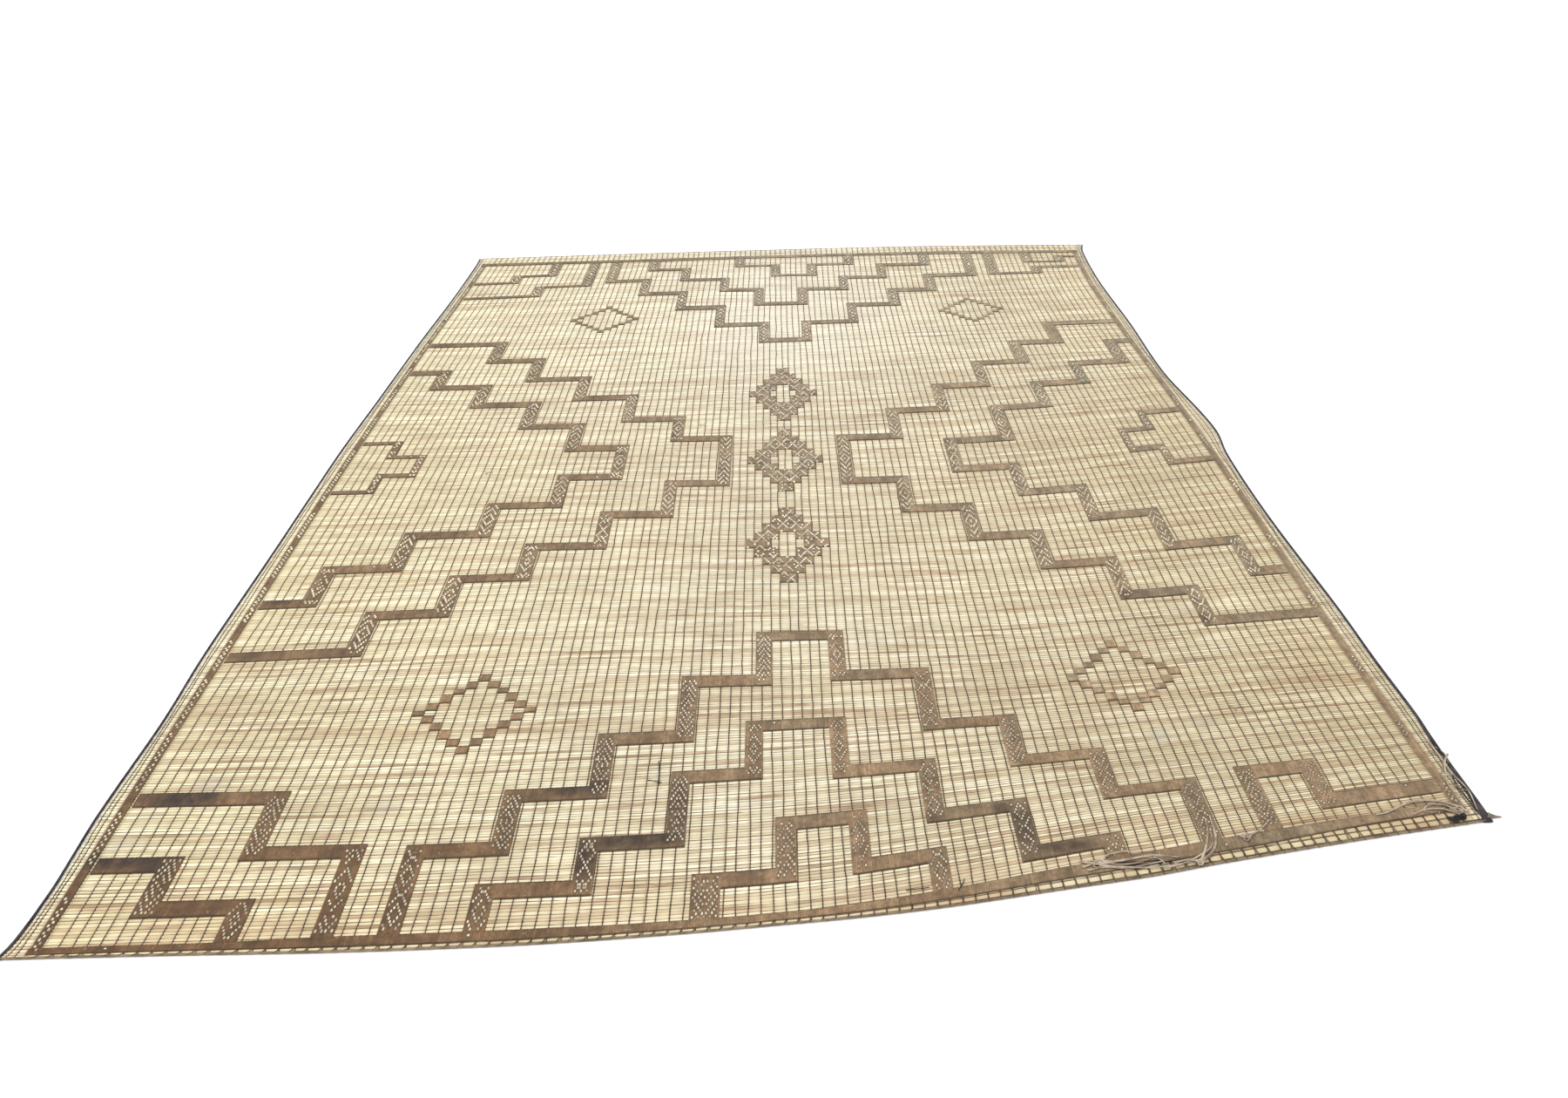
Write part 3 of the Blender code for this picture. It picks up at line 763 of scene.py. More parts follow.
def makeReeds(name, first, last):
    outer = layout["outerCell"]
    beyond = np.array(reeds["beyondCells"])
    cells = np.concatenate([-outer - beyond[::-1], np.arange(-outer, outer + 0.5, 0.5), outer + beyond])
    across = len(cells) - 1
    along = (last - first) * 2
    piece = addGrid(name, across, along)
    columns, lines = gridSteps(piece, across, along)
    cell = cells[columns]
    halfReed = first * 2 + lines
    row = np.interp(halfReed / 2, np.arange(reeds["count"] + 1), reedLines)
    row = row + wobbleOf(cells)[halfReed, columns]
    x, y = place(np.clip(cell, -outer, outer), row)
    for side in (-1, 1):
        outside = side * cell > outer
        share = np.interp(np.abs(cell[outside]) - outer, beyond, reeds["beyondShares"])
        x[outside], y[outside] = placeBeyond(side, row[outside], share)
    isCrest = halfReed % 2 == 1
    isTied = (cell % 1 == 0) | (np.abs(cell) > outer)
    crest = crestHeights[np.minimum(halfReed // 2, reeds["count"] - 1)]
    z = np.where(isCrest, np.where(isTied, reeds["tied"], crest), reeds["valley"])
    movePoints(piece, x, y, z)
    addWeave(piece, cell, halfReed / 2)
    addMark(piece, "stain", darkSpots(x, y, reeds["greySpots"]))
    bpy.ops.object.shade_smooth()
    ends = np.zeros(len(piece.data.edges) * 2, np.int32)
    piece.data.edges.foreach_get("vertices", ends)
    ends = halfReed[ends.reshape(-1, 2)]
    sharp = (ends[:, 0] == ends[:, 1]) & (ends[:, 0] % 2 == 0)
    piece.data.edges.foreach_set("use_edge_sharp", sharp)
    # the rim goes down to the floor and is closed by one flat underside
    openForEdit(piece)
    bpy.ops.mesh.select_non_manifold(extend=False)
    bpy.ops.mesh.extrude_region_move(TRANSFORM_OT_translate={"value": (0, 0, -0.001)})
    bpy.ops.transform.resize(value=(1, 1, 0), center_override=(0, 0, 0))
    bpy.ops.mesh.edge_face_add()
    bpy.ops.object.mode_set(mode="OBJECT")
    settle(piece, reedFinish, "reed", "reed_sheet")
    return piece


# leather worked in narrow strips over the reeds
leather = {
    "stripsPerCell": 5,
    "armCells": 1.64,      # how wide a band's arms are, unless the band says otherwise
    "low": 0.0052,
    "high": 0.0060,
    "top": 0.0066,
    "lift": 0.0003,
    "dotRise": 0.0004,
    "dotSpread": 0.10,
    "skirt": -0.0011,
    "specks": 0.0012,      # the share of crossings with a stray dot
    "lostDots": 0.08,      # the share of dots that are worn away
    "stains": (
        # the first only darkens the right side band a little, all along its length
        (1.360, 0.300, 0.070, 1.900, 0.30),
        (-1.228, -1.491, 0.066, 0.032, 1.0),
        (-1.280, -1.652, 0.120, 0.026, 0.95),
        (-1.222, -1.690, 0.040, 0.036, 0.70),
        (-1.360, -1.640, 0.020, 0.030, 0.40),
        (-0.450, -1.527, 0.080, 0.024, 0.85),
        (-0.520, -1.560, 0.030, 0.040, 0.40),
        (-0.315, -1.674, 0.105, 0.024, 0.90),
        (-0.420, -1.712, 0.036, 0.055, 0.85),
        (-0.250, -1.600, 0.034, 0.070, 0.55),
        (-1.295, -0.803, 0.034, 0.022, 0.70),
        (-1.290, -1.024, 0.045, 0.022, 0.45),
        (0.856, -0.939, 0.060, 0.022, 0.55),
        (0.987, -1.058, 0.040, 0.022, 0.55),
        (0.500, -1.757, 0.060, 0.016, 0.75),
        (0.425, -1.700, 0.036, 0.044, 0.60),
        (0.395, -1.650, 0.024, 0.018, 0.60),
        (0.245, -1.662, 0.040, 0.022, 0.50),
        (-0.291, -1.510, 0.010, 0.012, 1.00),
    ),
}


def dotsIn(pattern, strips, reedsHigh, strip, reed):
    # at which crossings of a patch the reed shows on top of the leather
    across = np.floor(np.abs(strip - (strips - 1) / 2) + 0.01).astype(int)
    fromCentre = np.abs(reed - (reedsHigh - 1) / 2)
    up = np.floor(fromCentre + 0.01).astype(int)
    fromTop = reedsHigh - 1 - reed
    ring = across + up
    wave = np.abs(reed % 12 - 6)
    margin = 2 if reedsHigh > 20 else 1
    notAtSide = (strip > 0) & (strip < strips - 1)
    inside = notAtSide & (fromCentre < reedsHigh / 2 - margin)
    checked = notAtSide & ((strip + reed) % 2 == 0)
    # a ladder is in flights of 26 reeds, each worn away from somewhere on
    rungs = np.random.default_rng(3).uniform(0.55, 1.0, 40)[reed // 26] * 26
    dots = {
        "rings": inside & (ring % 3 == 0),
        "nested": inside & (ring % 4 == 0),
        "strokes": inside & ((up - across) % 4 == 1),
        "chevrons": inside & ((fromTop - across) % 3 == 0),
        "diamond": inside & ((ring == 6) | (ring == 2) | ((ring % 3 == 1) & (up > 7))),
        "cross": inside & (((across - up) % 5 == 0) | ((ring % 9 == 8) & (up > 4))),
        "dots": inside & (((across + wave) % 4 == 3) | ((wave == 6) & (across == 0))),
        "lattice": inside & ((ring % 4 == 1) | ((across == 0) & (up % 4 < 2))),
        "sparse": checked & (reed % 37 < 9),
        "ladder": checked & (reed % 26 < rungs),
    }
    return dots.get(pattern, np.zeros(strip.shape, bool))


def patchPoints(columns, lines, shown, cellFrom, cellTo, rows):
    # the strips make way for each reed that shows, so its dot is wider than a crossing
    strips, along = shown.shape
    edge = np.zeros((strips * 2 + 1, along + 1))
    for step in (0, 1):
        beside = np.zeros((strips, along + 1), bool)
        beside[:, step:along + step] = shown
        edge[0:-2:2] -= beside * leather["dotSpread"]
        edge[2::2] += beside * leather["dotSpread"]
    spread = np.clip(edge, -leather["dotSpread"], leather["dotSpread"]) * 2
    cell = cellFrom + (cellTo - cellFrom) * (columns + spread[columns, lines]) / (strips * 2)
    return place(cell, rows[lines] if rows.ndim == 1 else rows[lines, columns])


def addPatch(
    cellFrom, cellTo, strips, reedFrom, reedTo,
    pattern="plain", dotMaker=None, rowEdges=None, rimShadows=(True, True),
):
    # a block of strips; rowEdges give it slanting long edges, and the two flags say which of them get a
    # painted shadow line
    across = strips * 2
    along = reedTo - reedFrom
    piece = addGrid("patch", across, along)
    columns, lines = gridSteps(piece, across, along)
    faceCorners = cornersOf(piece).reshape(-1, 4)
    strip = columns[faceCorners].min(axis=1) // 2
    reed = lines[faceCorners].min(axis=1)
    dots = dotMaker(strip, reed) if dotMaker else dotsIn(pattern, strips, along, strip, reed)
    worn = dice.random((strips, along))[strip, reed]
    within = (strip > 0) & (strip < strips - 1) & (reed > 0) & (reed < along - 1)
    dots = (dots & (worn > leather["lostDots"])) | (within & (worn < leather["specks"]))
    shown = np.zeros((strips, along), bool)
    shown[strip, reed] = dots
    rows = reedLines[reedFrom:reedTo + 1]
    if rowEdges:
        cellOf = cellFrom + (cellTo - cellFrom) * np.arange(across + 1) / across
        low, high = (np.interp(cellOf, *edge) for edge in rowEdges)
        rows = low + (high - low) * np.arange(along + 1)[:, None] / along
    x, y = patchPoints(columns, lines, shown, cellFrom, cellTo, rows)
    # each strip goes over one reed and under the next
    over = np.where((columns // 2 + reedFrom + lines) % 2 == 0, leather["lift"], -leather["lift"])
    z = np.where(columns % 2 == 1, leather["high"] + over, leather["low"])
    z[faceCorners[dots].ravel()] += leather["dotRise"]
    movePoints(piece, x, y, np.minimum(z, leather["top"]))
    firstStrip = int(dice.integers(0, 40)) * leatherLook["stripBlock"]
    addWeave(piece, firstStrip + columns / 2, (reedFrom + lines) * 1.0)
    # the points round each dot, darkened with painted shade and dirt
    besideDots = np.bincount(faceCorners[dots].ravel(), minlength=len(columns)) > 0
    addMark(piece, "stain", darkSpots(x, y, leather["stains"]))
    # a painted shadow line along the long edges that are chosen
    addMark(piece, "rimShadow", ((lines == 0) & rimShadows[0]) | ((lines == along) & rimShadows[1]))
    addMark(piece, "beside", besideDots)
    piece.data.materials.append(leatherFinish)
    piece.data.materials.append(dotFinish)
    piece.data.polygons.foreach_set("material_index", dots.astype(np.int32))
    return piece


def makeLeather(node, patches):
    # one piece, with a low skirt round its edges
    piece = joinPieces("leather_" + node, patches)
    openForEdit(piece)
    mergePoints(0.00002)
    bpy.ops.mesh.select_non_manifold(extend=False)
    bpy.ops.mesh.extrude_region_move(TRANSFORM_OT_translate={"value": (0, 0, leather["skirt"])})
    bpy.ops.object.mode_set(mode="OBJECT")
    bpy.ops.object.shade_smooth()
    settle(piece, None, "leather", node)
    return piece


border = {
    "nearLow": -1.8370,
    "nearHigh": -1.8120,
    "farLow": 1.811,
    "farHigh": 1.839,
    "innerCell": 54.98,      # where the bars meet the side bands
    "sideStrips": 4,
    "sideFrom": 0.12,      # where the side bands start and end in their cell
    "sideTo": 0.86,
    "nearLowEdge": (
        (-56, -45, 0, 38, 47, 56),
        (-1.8405, -1.8385, -1.8375, -1.8360, -1.8310, -1.8285),
    ),
    "nearHighEdge": (
        (-56, -44, -34, -22, -10, 0, 12, 25, 35, 45, 56),
        (
            -1.8222, -1.8220, -1.8155, -1.8165, -1.8170, -1.8190,
            -1.8160, -1.8125, -1.8085, -1.8062, -1.8030,
        ),
    ),
}
nearLine = nearestReed(border["nearHigh"])
farLine = nearestReed(border["farLow"])


def lineUnderBorder(cell):
    # the last reed line that the near border still covers
    return int(np.searchsorted(reedLines, np.interp(cell, *border["nearHighEdge"]))) - 1


def makeBorder():
    outer = layout["outerCell"]
    strips = outer * 2 * leather["stripsPerCell"]
    nearPatch = addPatch(
        -outer, outer, strips, nearestReed(border["nearLow"]), nearLine,
        rowEdges=(border["nearLowEdge"], border["nearHighEdge"]), rimShadows=(True, False))
    farPatch = addPatch(-outer, outer, strips, farLine, nearestReed(border["farHigh"]))
    makeLeather("frame_near", [nearPatch])
    makeLeather("frame_far", [farPatch])
    for cell, name, pattern in ((-outer, "frame_left", "ladder"), (outer - 1, "frame_right", "sparse")):
        cellFrom, cellTo = cell + border["sideFrom"], cell + border["sideTo"]
        first = lineUnderBorder(cell)
        patch = addPatch(cellFrom, cellTo, border["sideStrips"], first, farLine, pattern)
        makeLeather(name, [patch])


def spire(*flight):
    # bars of a spire: up to the apex and down again
    return flight[:0:-1] + flight


def wedge(upper, lower):
    # bars of a wedge that points along the reeds
    return upper[::-1] + turned(lower)


def turned(rows):
    return tuple(-row for row in rows)


# arms and bars are the middles of the arms, in cells, and of the bars, in rows
bands = {
    "zigzag_far_outer": {
        "ends": ("far", "far"), "height": 0.036,
        "arms": (-31, -24.5, -17.5, -10.5, -3, 4.3, 12.4, 20, 27, 35),
        "bars": spire(0.912, 1.073, 1.240, 1.398, 1.553),
    },
    "zigzag_far_second": {
        "ends": ("far", "far"), "height": 0.032,
        "arms": (-24, -17.8, -10.4, -4, 4, 11.6, 18.8, 27),
        "bars": spire(1.272, 1.422, 1.556, 1.690),
    },
    "zigzag_far_third": {
        "ends": ("far", "far"), "height": 0.027,
        "arms": (-8, -1, 6, 13),
        "bars": spire(1.590, 1.711),
    },
    "zigzag_near_outer": {
        "ends": ("near", "near"), "height": 0.038,
        "pattern": (
            "dots", "rings", "rings", "rings", "chevrons",
            "diamond", "cross", "rings", "dots", "dots",
        ),
        "arms": (-30.6, -24, -17, -10, -2.8, 4.8, 13, 20.1, 27.2, 34),
        "bars": turned((1.614, 1.468, 1.313, 1.126, 0.952, 1.115, 1.315, 1.472, 1.612)),
    },
    "zigzag_near_second": {
        "ends": ("near", "near"), "height": 0.036,
        "pattern": ("dots", "cross", "chevrons", "diamond", "diamond", "dots", "dots", "dots"),
        "arms": (-24.4, -17, -10.1, -3.7, 4.3, 12, 19.1, 26),
        "bars": turned((1.727, 1.614, 1.440, 1.288, 1.457, 1.615, 1.770)),
    },
    "zigzag_near_third": {
        "ends": ("near", "near"), "height": 0.036,
        "pattern": ("rings", "chevrons", "diamond", "dots"),
        "arms": (-7.4, -0.9, 5.4, 11.6), "wide": {-7.4: 1.15, -0.9: 0.92},
        "bars": turned((1.728, 1.594, 1.728)),
    },
    "zigzag_left_outer": {
        "ends": ("left", "left"), "height": 0.038,
        "pattern": (
            "nested", "diamond", "nested", "chevrons", "diamond", "strokes",
            "nested", "cross", "diamond", "nested", "nested",
        ),
        "arms": (-44, -37, -29.2, -21.7, -14.6, -8, -14.5, -21.5, -29, -36, -43),
        "bars": wedge(
            (0.145, 0.292, 0.465, 0.624, 0.792, 0.948),
            (0.150, 0.333, 0.512, 0.667, 0.822, 0.978),
        ),
    },
    "zigzag_left_inner": {
        "ends": ("left", "left"), "height": 0.038, "pattern": ("diamond", "nested", "nested", "nested"),
        "arms": (-50, -43, -35, -28, -21.4, -27.8, -35, -43, -50),
        "bars": wedge((0.092, 0.256, 0.424, 0.574, 0.704), (0.097, 0.267, 0.434, 0.597, 0.750)),
    },
    "zigzag_left_small": {
        "ends": ("left", "left"), "height": 0.024, "pattern": ("rings",), "armCells": 1.0,
        "arms": (-50.5, -46.5, -50.5),
        "bars": wedge((0.062, 0.160), (0.064, 0.160)),
    },
    "zigzag_right_outer": {
        "ends": ("right", "right"), "height": 0.038,
        "pattern": (
            "plain", "diamond", "nested", "nested", "nested", "nested",
            "nested", "nested", "strokes", "strokes", "dots",
        ),
        "arms": (44, 37, 29.8, 22.7, 15.4, 8, 14.9, 22, 29, 36.3, 43.6),
        "bars": wedge(
            (0.130, 0.310, 0.475, 0.640, 0.800, 0.977),
            (0.145, 0.328, 0.499, 0.657, 0.823, 0.970),
        ),
    },
    "zigzag_right_inner": {
        "ends": ("right", "right"), "height": 0.038,
        "pattern": ("nested", "diamond", "nested", "nested", "cross", "nested", "strokes"),
        "arms": (52, 44.4, 37.2, 30, 22.2, 29.4, 36.6, 43.7, 51.4),
        "bars": wedge((0.085, 0.295, 0.447, 0.593, 0.773), (0.104, 0.263, 0.430, 0.610, 0.770)),
    },
    "zigzag_right_small": {
        "ends": ("right", "right"), "height": 0.030, "pattern": ("rings",), "armCells": 1.0,
        "arms": (49.5, 45.5, 49.5),
        "bars": wedge((0.063, 0.175), (0.064, 0.162)),
    },
    "corner_far_left_outer": {
        "ends": ("left", "far"), "height": 0.023,
        "arms": (-43, -35), "bars": (1.419, 1.514),
    },
    "corner_far_left_inner": {
        "ends": ("left", "far"), "height": 0.021,
        "arms": (-48, -42), "bars": (1.584, 1.664),
    },
    "corner_far_right_outer": {
        "ends": ("far", "right"), "height": 0.020,
        "arms": (39, 47), "bars": (1.551, 1.618),
    },
    "corner_far_right_inner": {
        "ends": ("far", "right"), "height": 0.018,
        "arms": (46, 52), "bars": (1.688, 1.753),
    },
    "corner_near_left_outer": {
        "ends": ("left", "near"), "height": 0.040, "pattern": ("rings", "diamond", "dots"),
        "arms": (-43.35, -35.35), "bars": (-1.454, -1.602),
    },
    "corner_near_left_inner": {
        "ends": ("left", "near"), "height": 0.037, "pattern": ("rings", "diamond", "dots"),
        "arms": (-49.2, -42.2), "bars": (-1.630, -1.745),
    },
    "corner_near_right": {
        "ends": ("near", "right"), "height": 0.052, "pattern": ("rings", "diamond", "dots"),
        "arms": (39.3, 45.0), "bars": (-1.597, -1.743),
    },
}


def bandPath(band):
    # the middle line of a stepped band, corner by corner
    cellEnds = {"left": -border["innerCell"], "right": border["innerCell"]}
    rowEnds = {"near": reedLines[nearLine], "far": reedLines[farLine]}
    start, end = band["ends"]
    across = start in cellEnds
    cells = [cellEnds[start]] if across else []
    rows = [] if across else [rowEnds[start]]
    cells += band["arms"]
    rows += band["bars"]
    if end in cellEnds:
        cells.append(cellEnds[end])
    else:
        rows.append(rowEnds[end])
    column, line = 0, 0
    path = [(cells[0], rows[0])]
    while column + 1 < len(cells) or line + 1 < len(rows):
        if across:
            column += 1
        else:
            line += 1
        across = not across
        path.append((cells[column], rows[line]))
    return path


def makeBand(name, band):
    path = bandPath(band)
    legs = list(zip(path[:-1], path[1:]))
    usualHalf = band.get("armCells", leather["armCells"]) / 2
    halves = band.get("wide", {})
    patterns = band.get("pattern", ("lattice",))
    barReeds = max(2, round(band["height"] / reeds["usual"]))
    lowest = {}
    for (cell, row), (nextCell, nextRow) in legs:
        if row == nextRow:
            lowest[row] = nearestReed(row - band["height"] / 2)
    patches = []
    armNumber = 0
    for (cell, row), (nextCell, nextRow) in legs:
        if row == nextRow:
            left, right = sorted((cell, nextCell))
            left += halves.get(left, usualHalf) if abs(left) < border["innerCell"] else 0
            right -= halves.get(right, usualHalf) if abs(right) < border["innerCell"] else 0
            strips = max(2, round((right - left) * leather["stripsPerCell"]))
            patches.append(addPatch(left, right, strips, lowest[row], lowest[row] + barReeds))
            continue
        pattern = patterns[armNumber % len(patterns)]
        armNumber += 1
        low, high = sorted((row, nextRow))
        reedFrom = lowest[low] if low in lowest else lineUnderBorder(cell)
        reedTo = lowest[high] + barReeds if high in lowest else nearestReed(high)
        half = halves.get(cell, usualHalf)
        strips = 5 if half < 0.6 else 11 if half < 1 else 15   # odd, so that one runs up the middle
        rimShadows = (low in lowest, high in lowest)
        patches.append(addPatch(cell - half, cell + half, strips, reedFrom, reedTo, pattern, rimShadows=rimShadows))
    makeLeather(name, patches)


lozenges = {
    "rows": {"lozenge_far": 0.463, "lozenge_middle": 0.0, "lozenge_near": -0.506},
    "halfCells": (1, 2, 3, 4, 5, 4, 3, 2, 1),
    "hollow": (0, 0, 0, 1, 2, 1, 0, 0, 0),
    "line": 0.0445,
}


def makeLozenge(name, row):
    bottom = row - lozenges["line"] * len(lozenges["hollow"]) / 2
    edges = [nearestReed(bottom + lozenges["line"] * k) for k in range(len(lozenges["hollow"]) + 1)]
    patches = []
    for k, (half, hollow) in enumerate(zip(lozenges["halfCells"], lozenges["hollow"])):
        spans = ((-half, -hollow), (hollow, half)) if hollow else ((-half, half),)
        for left, right in spans:
            strips = (right - left) * leather["stripsPerCell"]
            maker = zigzagMaker(left, strips, edges[k], (edges[0] + edges[-1]) / 2)
            patches.append(addPatch(left, right, strips, edges[k], edges[k + 1], dotMaker=maker))
    makeLeather(name, patches)


def zigzagMaker(left, strips, reedFrom, middleReed):
    # small pale diamonds and zigzags in rows
    def dots(strip, reed):
        across = left * leather["stripsPerCell"] + strip
        up = (reedFrom + reed - middleReed).astype(int)
        part = np.floor_divide(up, 9) * 3
        fromMiddle = np.abs((across + part) % 8 - 4) + np.abs(up % 9 - 4)
        chosen = (fromMiddle == 4) | ((fromMiddle == 1) & (across % 3 == 0))
        return chosen & (strip > 0) & (strip < strips - 1)
    return dots


diamonds = {
    "diamond_far_left": {"cell": -29.5, "row": 1.157, "line": 0.0220},
    "diamond_far_right": {"cell": 32.5, "row": 1.155, "line": 0.0241},
    "diamond_near_left": {"cell": -29.5, "row": -1.207, "line": 0.0231},
    "diamond_near_right": {"cell": 32.5, "row": -1.170, "line": 0.0276},
}


def makeDiamond(name, diamond):
    patches = []
    for step in range(20):
        quarter, part = divmod(step, 5)
        right, up = ((part, 5 - part), (5 - part, -part), (-part, part - 5), (part - 5, part))[quarter]
        cell = diamond["cell"] + right
        bottom = nearestReed(diamond["row"] + (up - 0.5) * diamond["line"])
        top = nearestReed(diamond["row"] + (up + 0.5) * diamond["line"])
        patches.append(addPatch(cell - 0.5, cell + 0.5, 5, bottom, max(top, bottom + 2)))
    piece = makeLeather(name, patches)
    piece.data.materials[0] = palerLeatherFinish


makeBorder()
for name, band in bands.items():
    makeBand(name, band)
for name, row in lozenges["rows"].items():
    makeLozenge(name, row)
for name, diamond in diamonds.items():
    makeDiamond(name, diamond)
print("leather made")


# cords that hold the reeds
cords = {
    "halfWidth": 0.00145,
    "unevenWidth": (0.90, 1.12),
    "low": 0.0033,
    "high": 0.0049,
    "lift": 0.0003,
    "waver": 0.0004,       # over three reeds
    "drift": 0.0012,       # over fifteen reeds
    "driftKnots": 32,
    "last": 54,            # the cell of the last cord before the border
    "beyondLeft": (0.45, 0.76),      # cords between the border and the binding
    "beyondRight": (0.36, 0.70),
}


def shapeCord(piece, columns, lines, centreX, centreY):
    # one leather cord, laid over the reeds along its middle line
    at = np.arange(reeds["count"] + 1)
    waverKnots = dice.normal(0, cords["waver"], reeds["count"] // 3 + 3)
    driftKnots = dice.normal(0, cords["drift"], cords["driftKnots"])
    driftAt = np.linspace(0, reeds["count"], cords["driftKnots"])
    waver = np.interp(at / 3, np.arange(len(waverKnots)), waverKnots)
    waver = waver + curveThrough(driftAt, driftKnots, at)
    width = cords["halfWidth"] * dice.uniform(*cords["unevenWidth"], reeds["count"] + 1)
    offset = (columns - 1) * width[lines] + waver[lines]
    lift = np.where(lines % 2 == 0, cords["lift"], -cords["lift"])
    z = np.where(columns == 1, cords["high"] + lift, cords["low"])
    movePoints(piece, centreX[lines] + offset, centreY[lines], z)


def makeCords(name, cells, side, beyond):
    routes = [place(cell, reedLines) for cell in cells]
    routes += [placeBeyond(side, reedLines, share) for share in beyond]
    model = addGrid("cord", 2, reeds["count"])
    columns, lines = gridSteps(model, 2, reeds["count"])
    bpy.ops.object.shade_smooth()
    pieces = copiesOf(model, len(routes))
    for piece, (centreX, centreY) in zip(pieces, routes):
        shapeCord(piece, columns, lines, centreX, centreY)
    settle(joinPieces(name, pieces), cordFinish, "thong")


makeCords("cords_left", range(-cords["last"], 0), -1, cords["beyondLeft"])
makeCords("cords_right", range(cords["last"] + 1), 1, cords["beyondRight"])
print("cords made")


# rolled and twisted leather
def closeTube(piece):
    openForEdit(piece)
    mergePoints(0.00001)
    bpy.ops.mesh.select_non_manifold(extend=False)
    bpy.ops.mesh.fill_holes(sides=0)
    bpy.ops.mesh.select_all(action="SELECT")
    bpy.ops.mesh.normals_make_consistent(inside=False)
    bpy.ops.object.mode_set(mode="OBJECT")
    bpy.ops.object.shade_smooth()


def addTube(name, x, y, z, halfWidth, halfHeight, around=8):
    # a strand along a line of points, flattened or round
    steps = len(x) - 1
    piece = addGrid(name, around, steps)
    columns, lines = gridSteps(piece, around, steps)
    slopeX, slopeY = np.gradient(x), np.gradient(y)
    length = np.maximum(np.hypot(slopeX, slopeY), 1e-9)
    angle = np.pi * 2 * columns / around
    out = np.cos(angle) * np.broadcast_to(halfWidth, x.shape)[lines]
    up = np.sin(angle) * np.broadcast_to(halfHeight, x.shape)[lines]
    sideX = (-slopeY / length)[lines]
    sideY = (slopeX / length)[lines]
    heights = np.broadcast_to(z, x.shape)[lines] + up
    movePoints(piece, x[lines] + sideX * out, y[lines] + sideY * out, np.maximum(heights, 0.0001))
    closeTube(piece)
    return piece


binding = {
    "left": ((-1.85, -1.82, -1.72), (0.0130, 0.0085, 0.0052)),      # width at some rows
    "right": ((-1.85, -1.80, -1.60, -1.40, -1.10), (0.0230, 0.0200, 0.0150, 0.0100, 0.0062)),
    "height": 0.0050,
    "wraps": 0.021,
    "wrapWidth": (0.86, 0.12),      # the share between two wraps, and what a wrap adds
    "wrapHeight": (0.88, 0.10),
    "uneven": 0.035,
    "ends": (-1.850, 1.920),
    "steps": 360,
}


def makeBinding(side, name):
    row = np.linspace(*binding["ends"], binding["steps"] + 1)
    wrap = np.abs(np.sin(row / binding["wraps"] * np.pi + side))
    least, more = binding["wrapWidth"]
    width = np.interp(row, *binding[name])
    width = width * (least + more * wrap + dice.normal(0, binding["uneven"], row.shape))
    x, y = placeEdge(side, row, width / 2 + 0.0002)
    least, more = binding["wrapHeight"]
    height = binding["height"] * (least + more * wrap)
    piece = addTube("rolled_binding_" + name, x, y, height / 2, width / 2, height / 2, 8)
    settle(piece, bindingFinish, "dark_leather", "binding_" + name)


makeBinding(-1, "left")
makeBinding(1, "right")
print("bindings made")

# cords and stitches of the two hems
hem = {
    "rows": {"near": (-1.850, 1), "far": (1.920, -1)},      # and which way is inwards
    "width": 0.0048,
    "height": 0.0050,
    "steps": 448,
    "twist": (0.90, 0.09, 1.6),
}
stitches = {
    "cells": 55,
    "halfWidth": 0.0011,
    "overBorder": 0.0012,
    "bottom": -1.8496,
    "shares": (0, 0.24, 0.48, 0.68, 0.86, 0.97, 1.0),
    "heights": (0.0058, 0.0056, 0.0053, 0.0056, 0.0056, 0.0050, 0.0036),
    "edge": 0.0009,
    "slant": ((-56, -10, 20, 40, 56), (-0.45, -0.30, 0.10, 0.35, 0.15)),
    "uneven": 0.05,
}


def makeHemCord(name, row, inwards):
    cell = np.linspace(-layout["outerCell"], layout["outerCell"], hem["steps"] + 1)
    least, more, turn = hem["twist"]
    twist = least + more * np.sin(np.arange(hem["steps"] + 1) * turn)
    middle = row + inwards * hem["width"] / 2
    x, y = place(cell, middle)
    for side, end in ((-1, 0), (1, -1)):
        x[end], y[end] = placeEdge(side, middle, layout["inset"])
    halfHeight = hem["height"] / 2 * twist
    piece = addTube("hem_" + name, x, y, halfHeight + 0.0001, hem["width"] / 2 * twist, halfHeight, 6)
    settle(piece, hemFinish, "thong", "edge_cord_" + name)


def makeStitches():
    # one stitch over the near hem at every cord
    shares = np.array(stitches["shares"])
    along = len(shares) - 1
    model = addGrid("stitch", 2, along)
    columns, lines = gridSteps(model, 2, along)
    bpy.ops.object.shade_smooth()
    cells = range(-stitches["cells"], stitches["cells"] + 1)
    pieces = copiesOf(model, len(cells))
    z = np.array(stitches["heights"])[lines] - np.where(columns == 1, 0, stitches["edge"])
    for cell, piece in zip(cells, pieces):
        top = np.interp(cell, *border["nearLowEdge"]) + stitches["overBorder"]
        rows = top + (stitches["bottom"] - top) * shares
        slant = np.interp(cell, *stitches["slant"]) + dice.normal(0, stitches["uneven"])
        x, y = place(cell + slant * lines / along, rows[lines])
        movePoints(piece, x + (columns - 1) * stitches["halfWidth"], y, z)
    settle(joinPieces("hem_stitches", pieces), cordFinish, "thong")


for name, (row, inwards) in hem["rows"].items():
    makeHemCord(name, row, inwards)
makeStitches()
print("hems made")

